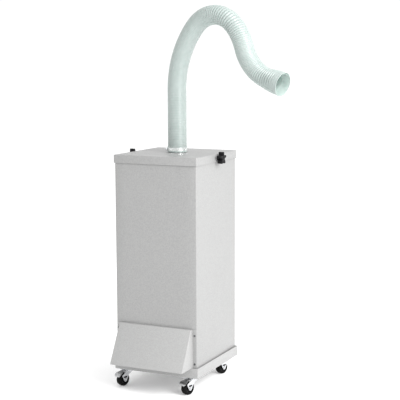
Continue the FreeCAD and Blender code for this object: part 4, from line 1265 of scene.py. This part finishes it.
for word in CASTERS[:2]:
    bm = bmesh.new()
    bmesh.ops.create_grid(bm, x_segments=16, y_segments=30, size=1)
    for vert in bm.verts:
        across = vert.co.x
        angle = PEDAL_START + (PEDAL_END - PEDAL_START) * (vert.co.y + 1) / 2
        radius = pedal_height(angle, across)
        vert.co = Vector((
            across * pedal_width(angle),
            -TRAIL + radius * math.cos(math.radians(angle)),
            WHEEL_RADIUS + radius * math.sin(math.radians(angle)),
        ))
    turn_outwards(bm)
    bm.normal_update()
    middle = Vector((0, -TRAIL, WHEEL_RADIUS))
    if sum(face.normal.dot(middle_of(face) - middle) for face in bm.faces) < 0:
        bmesh.ops.reverse_faces(bm, faces=bm.faces[:])
    move(bm, caster_place(word))
    pedal = make_piece(
        f"brake_pedal_{word}", bm, f"brake_{word}", "zinc", [f"brake_{word}"], 50,
        finish=dull_zinc,
    )
    thicken(pedal, 1.8 * MM)
    bm = bmesh.new()
    roll = math.radians(PEDAL_START)
    pivot = (0, -TRAIL + PIVOT_REACH * math.cos(roll), WHEEL_RADIUS + PIVOT_REACH * math.sin(roll))
    across = Matrix.Rotation(math.pi / 2, 4, "Y")
    add_rod(bm, 1.9 * MM, 20 * MM, 24, Matrix.Translation(pivot) @ across)
    move(bm, caster_place(word))
    make_piece(f"brake_pivot_{word}", bm, f"brake_{word}", "zinc", (), 35, finish=dull_zinc)

# %% [markdown]
# ## Controls on the back
# The rear panel carries an appliance inlet, a rocker switch and a speed knob. The housings keep
# their CAD shapes. The knob gets a fluted grip, and printed marks round it show low to high.

# %% Speed knob
knob_low, knob_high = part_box("speed_knob")
knob_middle = (knob_low + knob_high) / 2
FLUTES = 24
bm = bmesh.new()
turn_profile(bm, in_mm([
    (3.1, 0), (12.6, 0), (13, 0.4), (13, 2.2), (12.4, 3), (10.6, 3.2), (10.3, 6), (9.9, 9.6),
    (9.2, 12.4), (8.4, 13.2), (7.4, 13.2), (6.8, 12.8), (3.1, 12.8),
]), 144)
for vert in bm.verts:
    reach = vert.co.to_2d().length
    if vert.co.z > 3.1 * MM and reach > 7.5 * MM:
        flute = 0.5 + 0.5 * math.cos(FLUTES * math.atan2(vert.co.y, vert.co.x))
        vert.co.x *= 1 - 0.05 * flute
        vert.co.y *= 1 - 0.05 * flute
move(bm, along((0, 1, 0), (knob_middle.x, knob_low.y, knob_middle.z)))
make_piece("speed_knob_grip", bm, "speed_dial", "black_plastic", ["speed_knob"], 30)
bm = bmesh.new()
add_box(
    bm,
    (knob_middle.x - 0.6 * MM, knob_low.y + 12.9 * MM, knob_middle.z + 2.5 * MM),
    (knob_middle.x + 0.6 * MM, knob_low.y + 13.6 * MM, knob_middle.z + 8.6 * MM),
)
round_edges(bm, sharp_edges(bm), 0.25 * MM, 2)
make_piece("speed_knob_pointer", bm, "speed_dial", "wheel_hub", finish=marking_paint)

# %% Speed marks
bm = bmesh.new()
MARKS = 11
for mark in range(MARKS):
    angle = math.radians(-135 + 270 * mark / (MARKS - 1))
    long_mark = 5.0 * MM if mark % 5 == 0 else 3.2 * MM
    printed = add_box(bm, (-0.45 * MM, 0, 15 * MM), (0.45 * MM, 0.12 * MM, 15 * MM + long_mark))
    spot = shift(knob_middle.x, rear_high.y, knob_middle.z)
    move(bm, spot @ Matrix.Rotation(angle, 4, "Y"), printed)
make_piece("speed_marks", bm, "cabinet", "black_plastic")

# %% Rocker marks
rocker_low, rocker_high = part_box("switch_rocker")
rocker_middle = (rocker_low + rocker_high) / 2
rocker_face = rocker_high.y
bm = bmesh.new()
add_box(
    bm,
    (rocker_middle.x - 0.5 * MM, rocker_face - 1.35 * MM, rocker_middle.z + 4.5 * MM),
    (rocker_middle.x + 0.5 * MM, rocker_face - 1.15 * MM, rocker_middle.z + 8.5 * MM),
)
make_piece("rocker_mark", bm, "rocker", "wheel_hub", finish=marking_paint)
